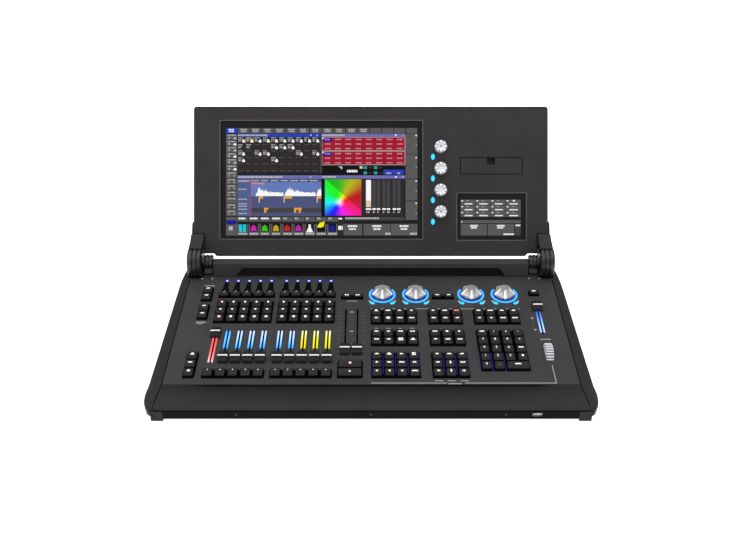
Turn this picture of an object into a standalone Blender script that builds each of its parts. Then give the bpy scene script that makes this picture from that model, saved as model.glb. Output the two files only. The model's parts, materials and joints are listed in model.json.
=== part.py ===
"""Lighting control desk: a sloping control surface with a tilting screen housing on two side hinges.

Metres, +Z up. X runs to the operator's right and Y away from the operator. The origin is the middle of
the whole object's bottom. Sub-parts on the sloping surface are drawn in the desk frame, whose axes are
X, "u" rearwards along the surface and "v" out of it. Sub-parts of the screen housing are drawn in the
screen frame, whose axes are X, "y" into the housing and "s" up along it from the hinge axis.
"""
import math

import bmesh
import bpy
from mathutils import Vector

MM = 0.001
GAP = 0.3 * MM

# The desk frame: its front edge and slope
SLOPE = math.radians(9.0)
CREASE_Y = -194.2 * MM
CREASE_Z = 24.0 * MM

# Base
SEAM_HALF = 322.0 * MM
PANEL_DEPTH = 275.5 * MM
PANEL_THICK = 2.5 * MM
NOSE_REACH = 61.0 * MM
NOSE_RADIUS = 8.5 * MM
NOSE_TOP_Z = 27.0 * MM
LIP_Z = 17.0 * MM
PALM_THICK = 3.0 * MM
SCOOP_DEPTH = 3.0 * MM
SCOOP_REACH = 40.0 * MM
SCOOP_HALF = 245.0 * MM
SCOOP_FADE = 42.0 * MM
CHEEK_FRONT_HALF = 342.0 * MM
CHEEK_REAR_HALF = 338.0 * MM
CHEEK_BOTTOM_Z = 5.0 * MM
CHEEK_CHAMFER = 9.0 * MM
CHEEK_EDGE = 4.0 * MM
CORNER_START = 14.0 * MM
FRONT_CORNER = 13.0 * MM
REAR_CORNER_START = 240.0 * MM
REAR_CORNER = 16.0 * MM
BASE_REAR = 325.0 * MM
PAN_BOTTOM_Z = 4.0 * MM
PAN_HALF = 308.7 * MM
SHEET = 1.5 * MM
RAIL_INNER = 309.0 * MM
RAIL_OUTER = 327.0 * MM
RAIL_TOP_Z = 16.2 * MM

# Hump behind the control surface
HUMP_HALF = 280.0 * MM
HUMP_FRONT = 276.0 * MM
HUMP_HEIGHT = 25.0 * MM
HUMP_WALL = 7.0 * MM
HUMP_REAR_Z = 74.0 * MM
RECESS_DEPTH = 4.0 * MM

# Hinges
HINGE_U = 292.5 * MM
HINGE_V = 20.7 * MM
DRUM_RADIUS = 27.0 * MM
DRUM_CLEARANCE = 2.5 * MM
DRUM_INNER = 300.0 * MM
DRUM_OUTER = 324.6 * MM
KNUCKLE_INNER = 281.5 * MM
KNUCKLE_OUTER = 298.5 * MM
KNUCKLE_RADIUS = 12.8 * MM
PIN_RADIUS = 4.0 * MM

# Screen housing, in the screen frame
SCREEN_TILT = math.radians(27.75)
SCREEN_HALF = 318.7 * MM
SCREEN_BOTTOM = 10.6 * MM
SCREEN_TOP = 279.1 * MM
SCREEN_FRONT = 9.6 * MM
BEZEL_THICK = 12.4 * MM
SCREEN_THICK = 34.0 * MM
MAIN_OPENING = (-270.3 * MM, 92.3 * MM, 41.8 * MM, 253.5 * MM)
SIDE_OPENING = (155.6 * MM, 278.6 * MM, 39.9 * MM, 123.1 * MM)
HATCH_OPENING = (161.4 * MM, 271.9 * MM, 158.3 * MM, 187.1 * MM)
HATCH_NOTCH_X = 216.1 * MM
HATCH_NOTCH_SIZE = (14.6 * MM, 12.0 * MM)
DISPLAY_SET_BACK = 2.0 * MM
SCREEN_ENCODER_X = 125.2 * MM
SCREEN_ENCODER_LOW = 89.8 * MM
SCREEN_ENCODER_PITCH = 38.9 * MM

# Keys
KEY_PITCH = 19.7 * MM
ROW_PITCH = 19.6 * MM
KEY_SIZE = 17.2 * MM
KEY_TOP = 5.6 * MM
KEY_RAKE = 0.11
KEY_CHAMFER = 1.2 * MM
MAT_THICK = 2.0 * MM
MAT_MARGIN_X = 3.0 * MM
MAT_MARGIN_U = 1.0 * MM
WINDOW_MARGIN = 0.9 * MM

# Columns and rows of the control surface
PLAYBACK_A = -254.6 * MM
PLAYBACK_B = -149.2 * MM
PAGE_X = -283.9 * MM
CROSSFADER_X = (-42.2 * MM, -22.5 * MM)
GO_X = -33.0 * MM
GO_WIDTH = 38.6 * MM
LEFT_X = 9.1 * MM
MID_X = 105.0 * MM
RIGHT_X = 181.7 * MM
MASTER_X = 283.0 * MM
FLASH_U = 23.1 * MM
FADER_U = 58.0 * MM
FADER_TRAVEL = 60.0 * MM
CROSSFADER_U = 77.4 * MM
MASTER_U = 126.6 * MM
PLAYBACK_U = 155.5 * MM
SELECT_U = 221.6 * MM
UPPER_U = 152.0 * MM
MIDDLE_U = 97.8 * MM
KEYPAD_U = 39.0 * MM
SMALL_KEY_U = 216.0 * MM

# Knobs and wheel
ENCODER_X = (19.7 * MM, 77.5 * MM, 173.5 * MM, 231.4 * MM)
ENCODER_U = 223.7 * MM
ENCODER_LOBES = 6
WHEEL_X = 284.5 * MM
WHEEL_U = 74.0 * MM
WHEEL_V = -8.5 * MM
WHEEL_RADIUS = 21.0 * MM
WHEEL_WIDTH = 12.0 * MM

# Sockets
USB_X = 247.0 * MM
USB_Z = 9.8 * MM
INLET_X = 255.0 * MM
INLET_PLATE_LEFT = 195.0 * MM
INLET_Z = 32.0 * MM


# ---------------------------------------------------------------- helpers

def clear_scene():
    for item in list(bpy.data.objects):
        bpy.data.objects.remove(item, do_unlink=True)


def plain_material(name, color, roughness, metallic=0.0):
    """A Principled material with the part's colour, roughness and metallic value."""
    material = bpy.data.materials.new(name)
    material.use_nodes = True
    shader = material.node_tree.nodes["Principled BSDF"]
    shader.inputs["Base Color"].default_value = (*color, 1.0)
    shader.inputs["Roughness"].default_value = roughness
    shader.inputs["Metallic"].default_value = metallic
    return material


def make_empty(name, location, tilt):
    """A reference frame turned by tilt about X."""
    frame = bpy.data.objects.new(name, None)
    frame.location = location
    frame.rotation_euler = (tilt, 0.0, 0.0)
    bpy.context.collection.objects.link(frame)
    return frame


def make_object(name, mesh_data, material, parent=None, location=(0.0, 0.0, 0.0), smooth=False):
    """Turns the bmesh into a named object under its frame; location is where its own origin sits."""
    bmesh.ops.translate(mesh_data, vec=-Vector(location), verts=mesh_data.verts)
    bmesh.ops.recalc_face_normals(mesh_data, faces=mesh_data.faces)
    mesh = bpy.data.meshes.new(name)
    mesh_data.to_mesh(mesh)
    mesh_data.free()
    mesh.materials.append(material)
    if smooth:
        mesh.shade_smooth()
        mesh.set_sharp_from_angle(angle=math.radians(35.0))
    item = bpy.data.objects.new(name, mesh)
    item.parent = parent
    item.location = location
    bpy.context.collection.objects.link(item)
    return item


def boolean(item, name, mesh_data, parent=None, operation="DIFFERENCE"):
    """Cuts the shape out of the object, or joins it, through a guide that is never rendered."""
    guide = make_object(name, mesh_data, item.data.materials[0], parent)
    guide.hide_render = True
    guide.display_type = "WIRE"
    modifier = item.modifiers.new(name, "BOOLEAN")
    modifier.operation = operation
    modifier.solver = "EXACT"
    modifier.object = guide


def loft(mesh_data, sections):
    """Joins closed sections of equal point count with side faces, and caps both ends."""
    rings = [[mesh_data.verts.new(point) for point in section] for section in sections]
    for lower, upper in zip(rings, rings[1:]):
        for i in range(len(lower)):
            j = (i + 1) % len(lower)
            mesh_data.faces.new((lower[i], lower[j], upper[j], upper[i]))
    mesh_data.faces.new(rings[0])
    mesh_data.faces.new(list(reversed(rings[-1])))


def prism_x(mesh_data, outline, low, high):
    """A prism along X whose outline is in the other two axes."""
    loft(mesh_data, [[(x, a, b) for a, b in outline] for x in (low, high)])


def prism_y(mesh_data, outline, low, high):
    """A prism along Y whose outline is in X and Z."""
    loft(mesh_data, [[(a, y, b) for a, b in outline] for y in (low, high)])


def prism_z(mesh_data, outline, low, high):
    """A prism along Z whose outline is in X and Y."""
    loft(mesh_data, [[(a, b, z) for a, b in outline] for z in (low, high)])


def box(mesh_data, x, y, z):
    """A box between three pairs of limits."""
    prism_z(mesh_data, rectangle(x[0], x[1], y[0], y[1]), z[0], z[1])


def rectangle(x0, x1, y0, y1):
    return [(x0, y0), (x1, y0), (x1, y1), (x0, y1)]


def arc(center, radius, start, end, steps):
    """Points on a circle between two angles in degrees."""
    points = []
    for i in range(steps + 1):
        angle = math.radians(start + (end - start) * i / steps)
        points.append((center[0] + radius * math.cos(angle), center[1] + radius * math.sin(angle)))
    return points


def stack(mesh_data, levels, center=(0.0, 0.0)):
    """Rectangles of half sizes (x, y) at rising heights, joined into one stepped block."""
    sections = []
    for height, half_x, half_y in levels:
        corners = rectangle(-half_x, half_x, -half_y, half_y)
        sections.append([(center[0] + x, center[1] + y, height) for x, y in corners])
    loft(mesh_data, sections)


def turned(mesh_data, profile, segments, axis="Z", center=(0.0, 0.0, 0.0), lobes=0):
    """A turned solid from (radius, height, lobe depth) points; lobes flute its outside."""
    sections = []
    for radius, height, depth in profile:
        ring = []
        for i in range(segments):
            angle = 2.0 * math.pi * i / segments
            reach = radius - depth * (0.5 - 0.5 * math.cos(lobes * angle))
            a = reach * math.cos(angle)
            b = reach * math.sin(angle)
            if axis == "X":
                ring.append((center[0] + height, center[1] + a, center[2] + b))
            elif axis == "Y":
                ring.append((center[0] + b, center[1] + height, center[2] + a))
            else:
                ring.append((center[0] + a, center[1] + b, center[2] + height))
        sections.append(ring)
    loft(mesh_data, sections)


def desk_height(y):
    """Height of the control surface's plane at a world distance behind the crease."""
    return CREASE_Z + y * math.tan(SLOPE)


def smooth_step(value):
    value = min(max(value, 0.0), 1.0)
    return value * value * (3.0 - 2.0 * value)


def columns_from(first, count):
    return [first + i * KEY_PITCH for i in range(count)]


def rows_from(first, count):
    return [first + i * ROW_PITCH for i in range(count)]


# ---------------------------------------------------------------- base

def palm_profile(scoop):
    """Outline of the palm rest behind and below its nose, in Y from the crease and Z."""
    nose_y = -NOSE_REACH + NOSE_RADIUS
    nose_z = NOSE_TOP_Z - NOSE_RADIUS
    outer = []
    for y in (0.0, -7.0 * MM, -14.0 * MM, -22.0 * MM, -31.0 * MM, -SCOOP_REACH):
        rise = NOSE_TOP_Z - CREASE_Z
        crown = CREASE_Z + rise * (1.0 - (1.0 + y / (NOSE_REACH - NOSE_RADIUS)) ** 2)
        drop = scoop * (1.0 + y / SCOOP_REACH) ** 1.5
        outer.append((y, crown - drop))
    outer += arc((nose_y, nose_z), NOSE_RADIUS, 90, 180, 6)
    outer.append((-NOSE_REACH, LIP_Z))
    inner = [(-NOSE_REACH + PALM_THICK, LIP_Z)]
    inner += arc((nose_y, nose_z), NOSE_RADIUS - PALM_THICK, 180, 90, 4)
    inner += [(y, z - PALM_THICK) for y, z in reversed(outer[:6])]
    return outer + inner


def palm_rest(material):
    """A moulded strip with a rounded nose, and a shallow scoop before the control surface."""
    half = SEAM_HALF - GAP / 2
    side = [half, SCOOP_HALF + SCOOP_FADE]
    side += [SCOOP_HALF + SCOOP_FADE * step for step in (0.75, 0.5, 0.25, 0.0)]
    mesh_data = bmesh.new()
    sections = []
    for x in [-x for x in side] + list(reversed(side)):
        scoop = SCOOP_DEPTH * smooth_step((SCOOP_HALF + SCOOP_FADE - abs(x)) / SCOOP_FADE)
        sections.append([(x, CREASE_Y - GAP + y, z) for y, z in palm_profile(scoop)])
    loft(mesh_data, sections)
    make_object("palm_rest", mesh_data, material, smooth=True)


def cheek_stations():
    """Distances behind the crease, with the cheek's outer half width and top height there."""
    nose_y = -NOSE_REACH + NOSE_RADIUS
    nose_z = NOSE_TOP_Z - NOSE_RADIUS
    stations = []
    for y, z in reversed(arc((nose_y, nose_z), NOSE_RADIUS, 90, 170, 5)):
        stations.append((y, z))
    for y in (-SCOOP_REACH, -26.0 * MM, -12.0 * MM, 0.0):
        rise = NOSE_TOP_Z - CREASE_Z
        stations.append((y, CREASE_Z + rise * (1.0 - (1.0 + y / (NOSE_REACH - NOSE_RADIUS)) ** 2)))
    for y in (120.0, 240.0, 262.0, 284.0, 300.0, 312.0, 324.0):
        stations.append((y * MM, desk_height(y * MM)))
    return stations


def cheek_half_width(y):
    """Plan outline: straight sides that draw in slightly to the rear, with both corners rounded."""
    half = CHEEK_FRONT_HALF + (CHEEK_REAR_HALF - CHEEK_FRONT_HALF) * max(y, 0.0) / REAR_CORNER_START
    front = max(-y - CORNER_START, 0.0) / (NOSE_REACH - CORNER_START)
    rear = max(y - REAR_CORNER_START, 0.0) / (BASE_REAR - REAR_CORNER_START)
    half -= FRONT_CORNER * (1.0 - math.sqrt(max(1.0 - front * front, 0.0)))
    half -= REAR_CORNER * (1.0 - math.sqrt(max(1.0 - rear * rear, 0.0)))
    return half


def cheek(name, side, material):
    """An end casting that wraps the front corner and carries a pocket for the hinge drum."""
    inner = SEAM_HALF + GAP / 2
    sections = []
    for y, top in cheek_stations():
        outer = cheek_half_width(y)
        edge = min(CHEEK_EDGE, 0.4 * (outer - inner))
        low = CHEEK_BOTTOM_Z
        outline = [(inner, low), (inner, top), (outer - edge, top)]
        outline += [(outer - 0.3 * edge, top - 0.3 * edge), (outer, top - edge)]
        outline += [(outer, low + 0.8 * CHEEK_CHAMFER), (outer - CHEEK_CHAMFER, low)]
        sections.append([(side * x, CREASE_Y + y, z) for x, z in outline])
    mesh_data = bmesh.new()
    loft(mesh_data, sections)
    item = make_object(name, mesh_data, material)
    pocket = bmesh.new()
    reach = [(DRUM_RADIUS + DRUM_CLEARANCE, x, 0.0) for x in (300.0 * MM, DRUM_OUTER + 1.2 * MM)]
    turned(pocket, [(r, side * x, d) for r, x, d in reach], 48, "X", hinge_point())
    boolean(item, name + "_pocket", pocket)


def hinge_point():
    """The hinge axis where it crosses the middle plane."""
    y = CREASE_Y + HINGE_U * math.cos(SLOPE) - HINGE_V * math.sin(SLOPE)
    z = CREASE_Z + HINGE_U * math.sin(SLOPE) + HINGE_V * math.cos(SLOPE)
    return (0.0, y, z)


def base_pan(material):
    """A folded tray: floor, front strip and low sides, with cooling slots and the socket's cut-out."""
    front = CREASE_Y - 56.0 * MM
    rear = CREASE_Y + BASE_REAR - SHEET - 2 * GAP
    top = LIP_Z - 2 * GAP
    mesh_data = bmesh.new()
    outline = [(-PAN_HALF, PAN_BOTTOM_Z), (PAN_HALF, PAN_BOTTOM_Z), (PAN_HALF, top), (PAN_HALF - SHEET, top)]
    outline += [(PAN_HALF - SHEET, PAN_BOTTOM_Z + SHEET), (-PAN_HALF + SHEET, PAN_BOTTOM_Z + SHEET)]
    outline += [(-PAN_HALF + SHEET, top), (-PAN_HALF, top)]
    prism_y(mesh_data, outline, front, rear)
    item = make_object("base_pan", mesh_data, material)
    strip = bmesh.new()
    box(strip, (-PAN_HALF + 0.2 * SHEET, PAN_HALF - 0.2 * SHEET), (front, front + SHEET),
        (PAN_BOTTOM_Z + 0.5 * SHEET, top))
    boolean(item, "base_pan_strip", strip, operation="UNION")
    slots = bmesh.new()
    for x in [side * (70.0 + 16.0 * i) * MM for side in (-1, 1) for i in range(6)]:
        box(slots, (x - 2.0 * MM, x + 2.0 * MM), (0.035, 0.085), (0.0, 0.01))
    box(slots, (USB_X - 7.6 * MM, USB_X + 7.6 * MM), (front - 0.01, front + 0.01),
        (USB_Z - 3.8 * MM, USB_Z + 3.8 * MM))
    boolean(item, "base_pan_slots", slots)


def foot_rail(name, side, material):
    """A rubber-faced rail that the desk stands on, tucked under the cheek."""
    inner = SEAM_HALF - GAP / 2
    low_top = CHEEK_BOTTOM_Z - GAP
    chamfer = 1.5 * MM
    outline = [(RAIL_INNER, 0.0), (RAIL_OUTER - chamfer, 0.0), (RAIL_OUTER, chamfer), (RAIL_OUTER, low_top)]
    outline += [(inner, low_top), (inner, RAIL_TOP_Z), (RAIL_INNER, RAIL_TOP_Z)]
    mesh_data = bmesh.new()
    prism_y(mesh_data, [(side * x, z) for x, z in outline], CREASE_Y - 53.0 * MM, CREASE_Y + 321.0 * MM)
    make_object(name, mesh_data, material)


def control_panel(material, desk, windows, slots, holes):
    """The sloping plate, with a window for each key bank, a slot for each fader and a hole for each shaft."""
    half = SEAM_HALF - GAP / 2
    notch_u = HINGE_U - DRUM_RADIUS - DRUM_CLEARANCE + 8.2 * MM
    notch_x = DRUM_INNER - 0.7 * MM
    outline = [(-half, GAP), (half, GAP), (half, notch_u), (notch_x, notch_u), (notch_x, PANEL_DEPTH)]
    outline += [(-notch_x, PANEL_DEPTH), (-notch_x, notch_u), (-half, notch_u)]
    mesh_data = bmesh.new()
    prism_z(mesh_data, outline, -PANEL_THICK, 0.0)
    item = make_object("control_panel", mesh_data, material, desk)
    cuts = bmesh.new()
    depth = (-2.0 * PANEL_THICK, PANEL_THICK)
    for x0, x1, u0, u1 in windows + slots:
        box(cuts, (x0, x1), (u0, u1), depth)
    for x, u, radius in holes:
        turned(cuts, [(radius, depth[0], 0.0), (radius, depth[1], 0.0)], 20, center=(x, u, 0.0))
    boolean(item, "control_panel_cuts", cuts, desk)


def hump_cover(material, desk):
    """The raised cover over the rear electronics, with low wings under the hinges and a front recess."""
    rear_y = CREASE_Y + BASE_REAR
    front_low = desk_point(HUMP_FRONT, 0.0)
    front_high = desk_point(HUMP_FRONT + 4.0 * MM, HUMP_HEIGHT)
    ridge = desk_point(HUMP_FRONT + 20.0 * MM, HUMP_HEIGHT)
    under = PANEL_THICK + 1.0 * MM
    foot = desk_point(HUMP_FRONT, -under)
    outline = [foot, front_low, front_high, ridge, (rear_y, HUMP_REAR_Z), (rear_y, HUMP_REAR_Z - under)]
    mesh_data = bmesh.new()
    prism_x(mesh_data, outline, -HUMP_HALF, HUMP_HALF)
    item = make_object("hump_cover", mesh_data, material)
    wing_top = desk_height(BASE_REAR)
    drop = 12.0 * MM
    wing = [desk_point(HUMP_FRONT, -drop), front_low, (rear_y, wing_top), (rear_y, HUMP_REAR_Z + 0.1 * MM)]
    wing += [(rear_y - 2 * SHEET, HUMP_REAR_Z + 0.1 * MM), (rear_y - 2 * SHEET, wing_top - 10.0 * MM)]
    wings = bmesh.new()
    wing_end = SEAM_HALF - GAP / 2
    for low, high in ((-wing_end, -HUMP_HALF + 5.0 * MM), (HUMP_HALF - 5.0 * MM, wing_end)):
        prism_x(wings, wing, low, high)
    boolean(item, "hump_wings", wings, operation="UNION")
    hollow = bmesh.new()
    cavity = [desk_point(HUMP_FRONT + HUMP_WALL, -30.0 * MM)]
    cavity += [desk_point(HUMP_FRONT + HUMP_WALL + 2.0 * MM, HUMP_HEIGHT - 3.0 * MM)]
    cavity += [desk_point(HUMP_FRONT + 19.0 * MM, HUMP_HEIGHT - 3.0 * MM)]
    cavity += [(rear_y - 3.0 * MM, HUMP_REAR_Z - 1.0 * MM), (rear_y - 3.0 * MM, 0.03)]
    prism_x(hollow, cavity, -HUMP_HALF + 3.0 * MM, HUMP_HALF - 3.0 * MM)
    boolean(item, "hump_hollow", hollow)
    pockets = bmesh.new()
    for side in (-1, 1):
        reach = [(DRUM_RADIUS + DRUM_CLEARANCE, side * x, 0.0) for x in (DRUM_INNER - 0.7 * MM, 0.335)]
        turned(pockets, reach, 48, "X", hinge_point())
    boolean(item, "hump_pockets", pockets)
    recess = bmesh.new()
    shape = [(-240.0 * MM, -1.0 * MM), (240.0 * MM, -1.0 * MM), (240.0 * MM, 1.0 * MM)]
    shape += [(230.0 * MM, 15.0 * MM), (226.0 * MM, 17.0 * MM), (-226.0 * MM, 17.0 * MM)]
    shape += [(-230.0 * MM, 15.0 * MM), (-240.0 * MM, 1.0 * MM)]
    near = HUMP_FRONT - 10.0 * MM
    sections = [[(x, near, v) for x, v in shape]]
    sections.append([(x, HUMP_FRONT + RECESS_DEPTH + 0.16 * v, v) for x, v in shape])
    loft(recess, sections)
    boolean(item, "hump_recess", recess, desk)


def desk_point(u, v):
    """World Y and Z of a point given in the desk frame."""
    y = CREASE_Y + u * math.cos(SLOPE) - v * math.sin(SLOPE)
    z = CREASE_Z + u * math.sin(SLOPE) + v * math.cos(SLOPE)
    return (y, z)


def rear_panel(material):
    """The upright connector plate, with a grid of cooling slots; it stops short of the inlet's own plate."""
    rear = CREASE_Y + BASE_REAR
    half = SEAM_HALF - GAP / 2
    mesh_data = bmesh.new()
    reach = (-half, INLET_PLATE_LEFT - GAP)
    box(mesh_data, reach, (rear - SHEET, rear), (CHEEK_BOTTOM_Z, HUMP_REAR_Z - 4.0 * MM))
    item = make_object("rear_panel", mesh_data, material)
    cuts = bmesh.new()
    for i in range(8):
        x = 120.0 * MM + 8.0 * MM * i
        box(cuts, (x - 1.5 * MM, x + 1.5 * MM), (rear - 0.01, rear + 0.01), (18.0 * MM, 50.0 * MM))
    boolean(item, "rear_panel_slots", cuts)


def front_usb_socket(material):
    """A rectangular metal shell, open to the front."""
    front = CREASE_Y - 56.6 * MM
    mesh_data = bmesh.new()
    box(mesh_data, (USB_X - 7.2 * MM, USB_X + 7.2 * MM), (front, front + 14.0 * MM),
        (USB_Z - 3.4 * MM, USB_Z + 3.4 * MM))
    item = make_object("front_usb_socket", mesh_data, material)
    mouth = bmesh.new()
    box(mouth, (USB_X - 6.3 * MM, USB_X + 6.3 * MM), (front - 0.01, front + 12.5 * MM),
        (USB_Z - 2.6 * MM, USB_Z + 2.6 * MM))
    boolean(item, "front_usb_mouth", mouth)


def power_inlet(material):
    """A three-pole mains inlet on a plate of its own: flange outside, body inside, open to the rear."""
    rear = CREASE_Y + BASE_REAR
    mesh_data = bmesh.new()
    reach = (INLET_PLATE_LEFT, SEAM_HALF - GAP / 2)
    box(mesh_data, reach, (rear - SHEET, rear), (CHEEK_BOTTOM_Z, HUMP_REAR_Z - 4.0 * MM))
    item = make_object("power_inlet", mesh_data, material)
    body = bmesh.new()
    levels = ((-22.0, 13.4, 9.9), (-0.5, 13.4, 9.9), (-0.5, 17.5, 13.0), (2.2, 17.0, 12.5))
    sections = []
    for depth, half_x, half_z in levels:
        corners = rectangle(-half_x * MM, half_x * MM, -half_z * MM, half_z * MM)
        sections.append([(INLET_X + x, rear + depth * MM, INLET_Z + z) for x, z in corners])
    loft(body, sections)
    boolean(item, "power_inlet_body", body, None, "UNION")
    mouth = bmesh.new()
    box(mouth, (INLET_X - 12.0 * MM, INLET_X + 12.0 * MM), (rear - 16.0 * MM, rear + 0.01),
        (INLET_Z - 8.2 * MM, INLET_Z + 8.2 * MM))
    boolean(item, "power_inlet_mouth", mouth)


def mainboard(material):
    """The processor board, with its heat sink."""
    levels = ((0.0, 140.0, 70.0), (1.6, 140.0, 70.0), (1.6, 32.0, 30.0), (22.0, 32.0, 30.0))
    mesh_data = bmesh.new()
    center = (-120.0 * MM, CREASE_Y + 235.0 * MM)
    stack(mesh_data, [(9.0 * MM + z * MM, x * MM, y * MM) for z, x, y in levels], center)
    make_object("mainboard", mesh_data, material)


def power_supply(material):
    """The enclosed power supply beside the mains inlet."""
    levels = ((0.0, 70.0, 46.0), (1.5, 71.5, 47.5), (34.5, 71.5, 47.5), (36.0, 70.0, 46.0))
    mesh_data = bmesh.new()
    center = (150.0 * MM, CREASE_Y + 232.0 * MM)
    stack(mesh_data, [(7.0 * MM + z * MM, x * MM, y * MM) for z, x, y in levels], center)
    make_object("power_supply", mesh_data, material)


def knuckle(name, side, material, desk):
    """The fixed hinge lug: a block with a rounded top, bored for the pin."""
    outline = [(HINGE_U - KNUCKLE_RADIUS, GAP)]
    outline += arc((HINGE_U, HINGE_V), KNUCKLE_RADIUS, 180, 0, 16)
    outline += [(HINGE_U + KNUCKLE_RADIUS, GAP)]
    mesh_data = bmesh.new()
    prism_x(mesh_data, outline, side * KNUCKLE_INNER, side * KNUCKLE_OUTER)
    item = make_object(name, mesh_data, material, desk)
    bore = bmesh.new()
    ends = [side * (KNUCKLE_INNER - 5.0 * MM), side * (KNUCKLE_OUTER + 5.0 * MM)]
    turned(bore, [(PIN_RADIUS + GAP, x, 0.0) for x in ends], 24, "X", (0.0, HINGE_U, HINGE_V))
    boolean(item, name + "_bore", bore, desk)


def hinge_pin(name, side, material):
    """The plain steel pin that the screen housing turns on."""
    profile = ((283.0, 3.4), (283.6, 4.0), (322.4, 4.0), (323.0, 3.4))
    mesh_data = bmesh.new()
    turned(mesh_data, [(r * MM, side * x * MM, 0.0) for x, r in profile], 24, "X", hinge_point())
    make_object(name, mesh_data, material, smooth=True)


# ---------------------------------------------------------------- screen housing

def housing_outline(inset):
    """Outline of the housing in X and s, stepped up over the knuckles and notched for the hinge arms."""
    half = SCREEN_HALF - inset
    bottom = SCREEN_BOTTOM + inset
    step_s = 15.4 * MM + inset
    notch_s = 50.0 * MM + inset
    step_x = 278.0 * MM - inset
    notch_x = DRUM_INNER - 0.5 * MM - inset
    radius = 5.0 * MM
    right = [(step_x, bottom), (step_x + 4.0 * MM, step_s), (notch_x, step_s)]
    right += [(notch_x, notch_s), (half, notch_s)]
    right += arc((half - radius, SCREEN_TOP - inset - radius), radius, 0, 90, 4)
    return right + [(-x, s) for x, s in reversed(right)]


def housing_loft(mesh_data, levels):
    """Stacks housing outlines of given insets at given depths."""
    loft(mesh_data, [[(x, y, s) for x, s in housing_outline(inset)] for inset, y in levels])


def screen_bezel(material, screen):
    """The front frame of the housing, with openings for both displays, the hatch and four shafts."""
    back = SCREEN_FRONT + BEZEL_THICK
    mesh_data = bmesh.new()
    housing_loft(mesh_data, ((1.6 * MM, SCREEN_FRONT), (0.0, SCREEN_FRONT + 1.6 * MM), (0.0, back)))
    item = make_object("screen_bezel", mesh_data, material, screen)
    cuts = bmesh.new()
    for x0, x1, s0, s1 in (MAIN_OPENING, SIDE_OPENING):
        box(cuts, (x0, x1), (0.0, back + 0.01), (s0, s1))
    x0, x1, s0, s1 = HATCH_OPENING
    box(cuts, (x0, x1), (0.0, back - 2.0 * MM), (s0, s1))
    for s in screen_encoder_heights():
        center = (SCREEN_ENCODER_X, 0.0, s)
        turned(cuts, [(3.6 * MM, 0.0, 0.0), (3.6 * MM, back + 0.01, 0.0)], 20, "Y", center)
    boolean(item, "screen_bezel_cuts", cuts, screen)


def screen_back(material, screen):
    """The rear shell of the housing: sloped sides, hollow inside, with two fields of cooling slots."""
    front = SCREEN_FRONT + BEZEL_THICK + GAP
    back = SCREEN_FRONT + SCREEN_THICK
    mesh_data = bmesh.new()
    levels = [(0.0, front), (0.0, front + 4.0 * MM), (9.0 * MM, back - 2.0 * MM), (11.0 * MM, back)]
    housing_loft(mesh_data, levels)
    item = make_object("screen_back", mesh_data, material, screen)
    hollow = bmesh.new()
    housing_loft(hollow, ((2.5 * MM, 0.0), (2.5 * MM, front + 3.0 * MM), (12.0 * MM, back - 2.5 * MM)))
    boolean(item, "screen_back_hollow", hollow, screen)
    vents = bmesh.new()
    for x in [side * (60.0 + 12.0 * i) * MM for side in (-1, 1) for i in range(6)]:
        box(vents, (x - 2.0 * MM, x + 2.0 * MM), (back - 5.0 * MM, back + 0.01), (195.0 * MM, 235.0 * MM))
    boolean(item, "screen_back_vents", vents, screen)


def display(name, opening, material, screen):
    """A flat display module set back in its opening."""
    x0, x1, s0, s1 = opening
    margin = 0.4 * MM
    front = SCREEN_FRONT + DISPLAY_SET_BACK
    mesh_data = bmesh.new()
    box(mesh_data, (x0 + margin, x1 - margin), (front, front + 8.0 * MM), (s0 + margin, s1 - margin))
    make_object(name, mesh_data, material, screen)


def media_hatch(material, screen):
    """A flap over the media slots, hinged on its lower front edge, with a finger notch in its top edge."""
    x0, x1, s0, s1 = HATCH_OPENING
    x0 += GAP
    x1 -= GAP
    s0 += GAP
    s1 -= GAP
    notch_x, notch_s = HATCH_NOTCH_SIZE
    left = HATCH_NOTCH_X - notch_x / 2
    right = HATCH_NOTCH_X + notch_x / 2
    outline = [(x0, s0), (x1, s0), (x1, s1), (right, s1), (right, s1 - notch_s), (left, s1 - notch_s)]
    outline += [(left, s1), (x0, s1)]
    front = SCREEN_FRONT + 0.2 * MM
    mesh_data = bmesh.new()
    prism_y(mesh_data, outline, front, front + 2.6 * MM)
    make_object("media_hatch", mesh_data, material, screen, (0.0, front, s0))


def hinge_arm(name, side, material, screen):
    """The moving hinge half: a drum on the axis, a neck into the housing's corner and a side flange."""
    inner = DRUM_INNER + 0.2 * MM
    radius = DRUM_RADIUS
    profile = [(radius, inner), (radius, DRUM_OUTER - 2.5 * MM), (radius - 2.5 * MM, DRUM_OUTER)]
    mesh_data = bmesh.new()
    turned(mesh_data, [(r, side * x, 0.0) for r, x in profile], 32, "X")
    item = make_object(name, mesh_data, material, screen)
    neck = bmesh.new()
    outline = [(-19.0, 12.0), (-15.0, 24.0), (-3.0, 36.0), (7.6, 49.7)]
    outline += [(34.0, 49.7), (34.0, 26.0), (19.0, 8.0)]
    prism_x(neck, [(y * MM, s * MM) for y, s in outline], side * inner, side * 322.6 * MM)
    boolean(item, name + "_neck", neck, screen, "UNION")
    flange = bmesh.new()
    outline = [(9.0, 40.0), (13.0, 68.0), (18.0, 73.0), (32.0, 73.0), (33.0, 68.0), (33.0, 40.0)]
    low = SCREEN_HALF + GAP
    prism_x(flange, [(y * MM, s * MM) for y, s in outline], side * low, side * 322.3 * MM)
    boolean(item, name + "_flange", flange, screen, "UNION")
    bore = bmesh.new()
    ends = [side * (inner - 5.0 * MM), side * 323.6 * MM]
    turned(bore, [(PIN_RADIUS + GAP, x, 0.0) for x in ends], 24, "X")
    boolean(item, name + "_bore", bore, screen)


def screen_encoder_heights():
    return [SCREEN_ENCODER_LOW + i * SCREEN_ENCODER_PITCH for i in (3, 2, 1, 0)]


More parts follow.
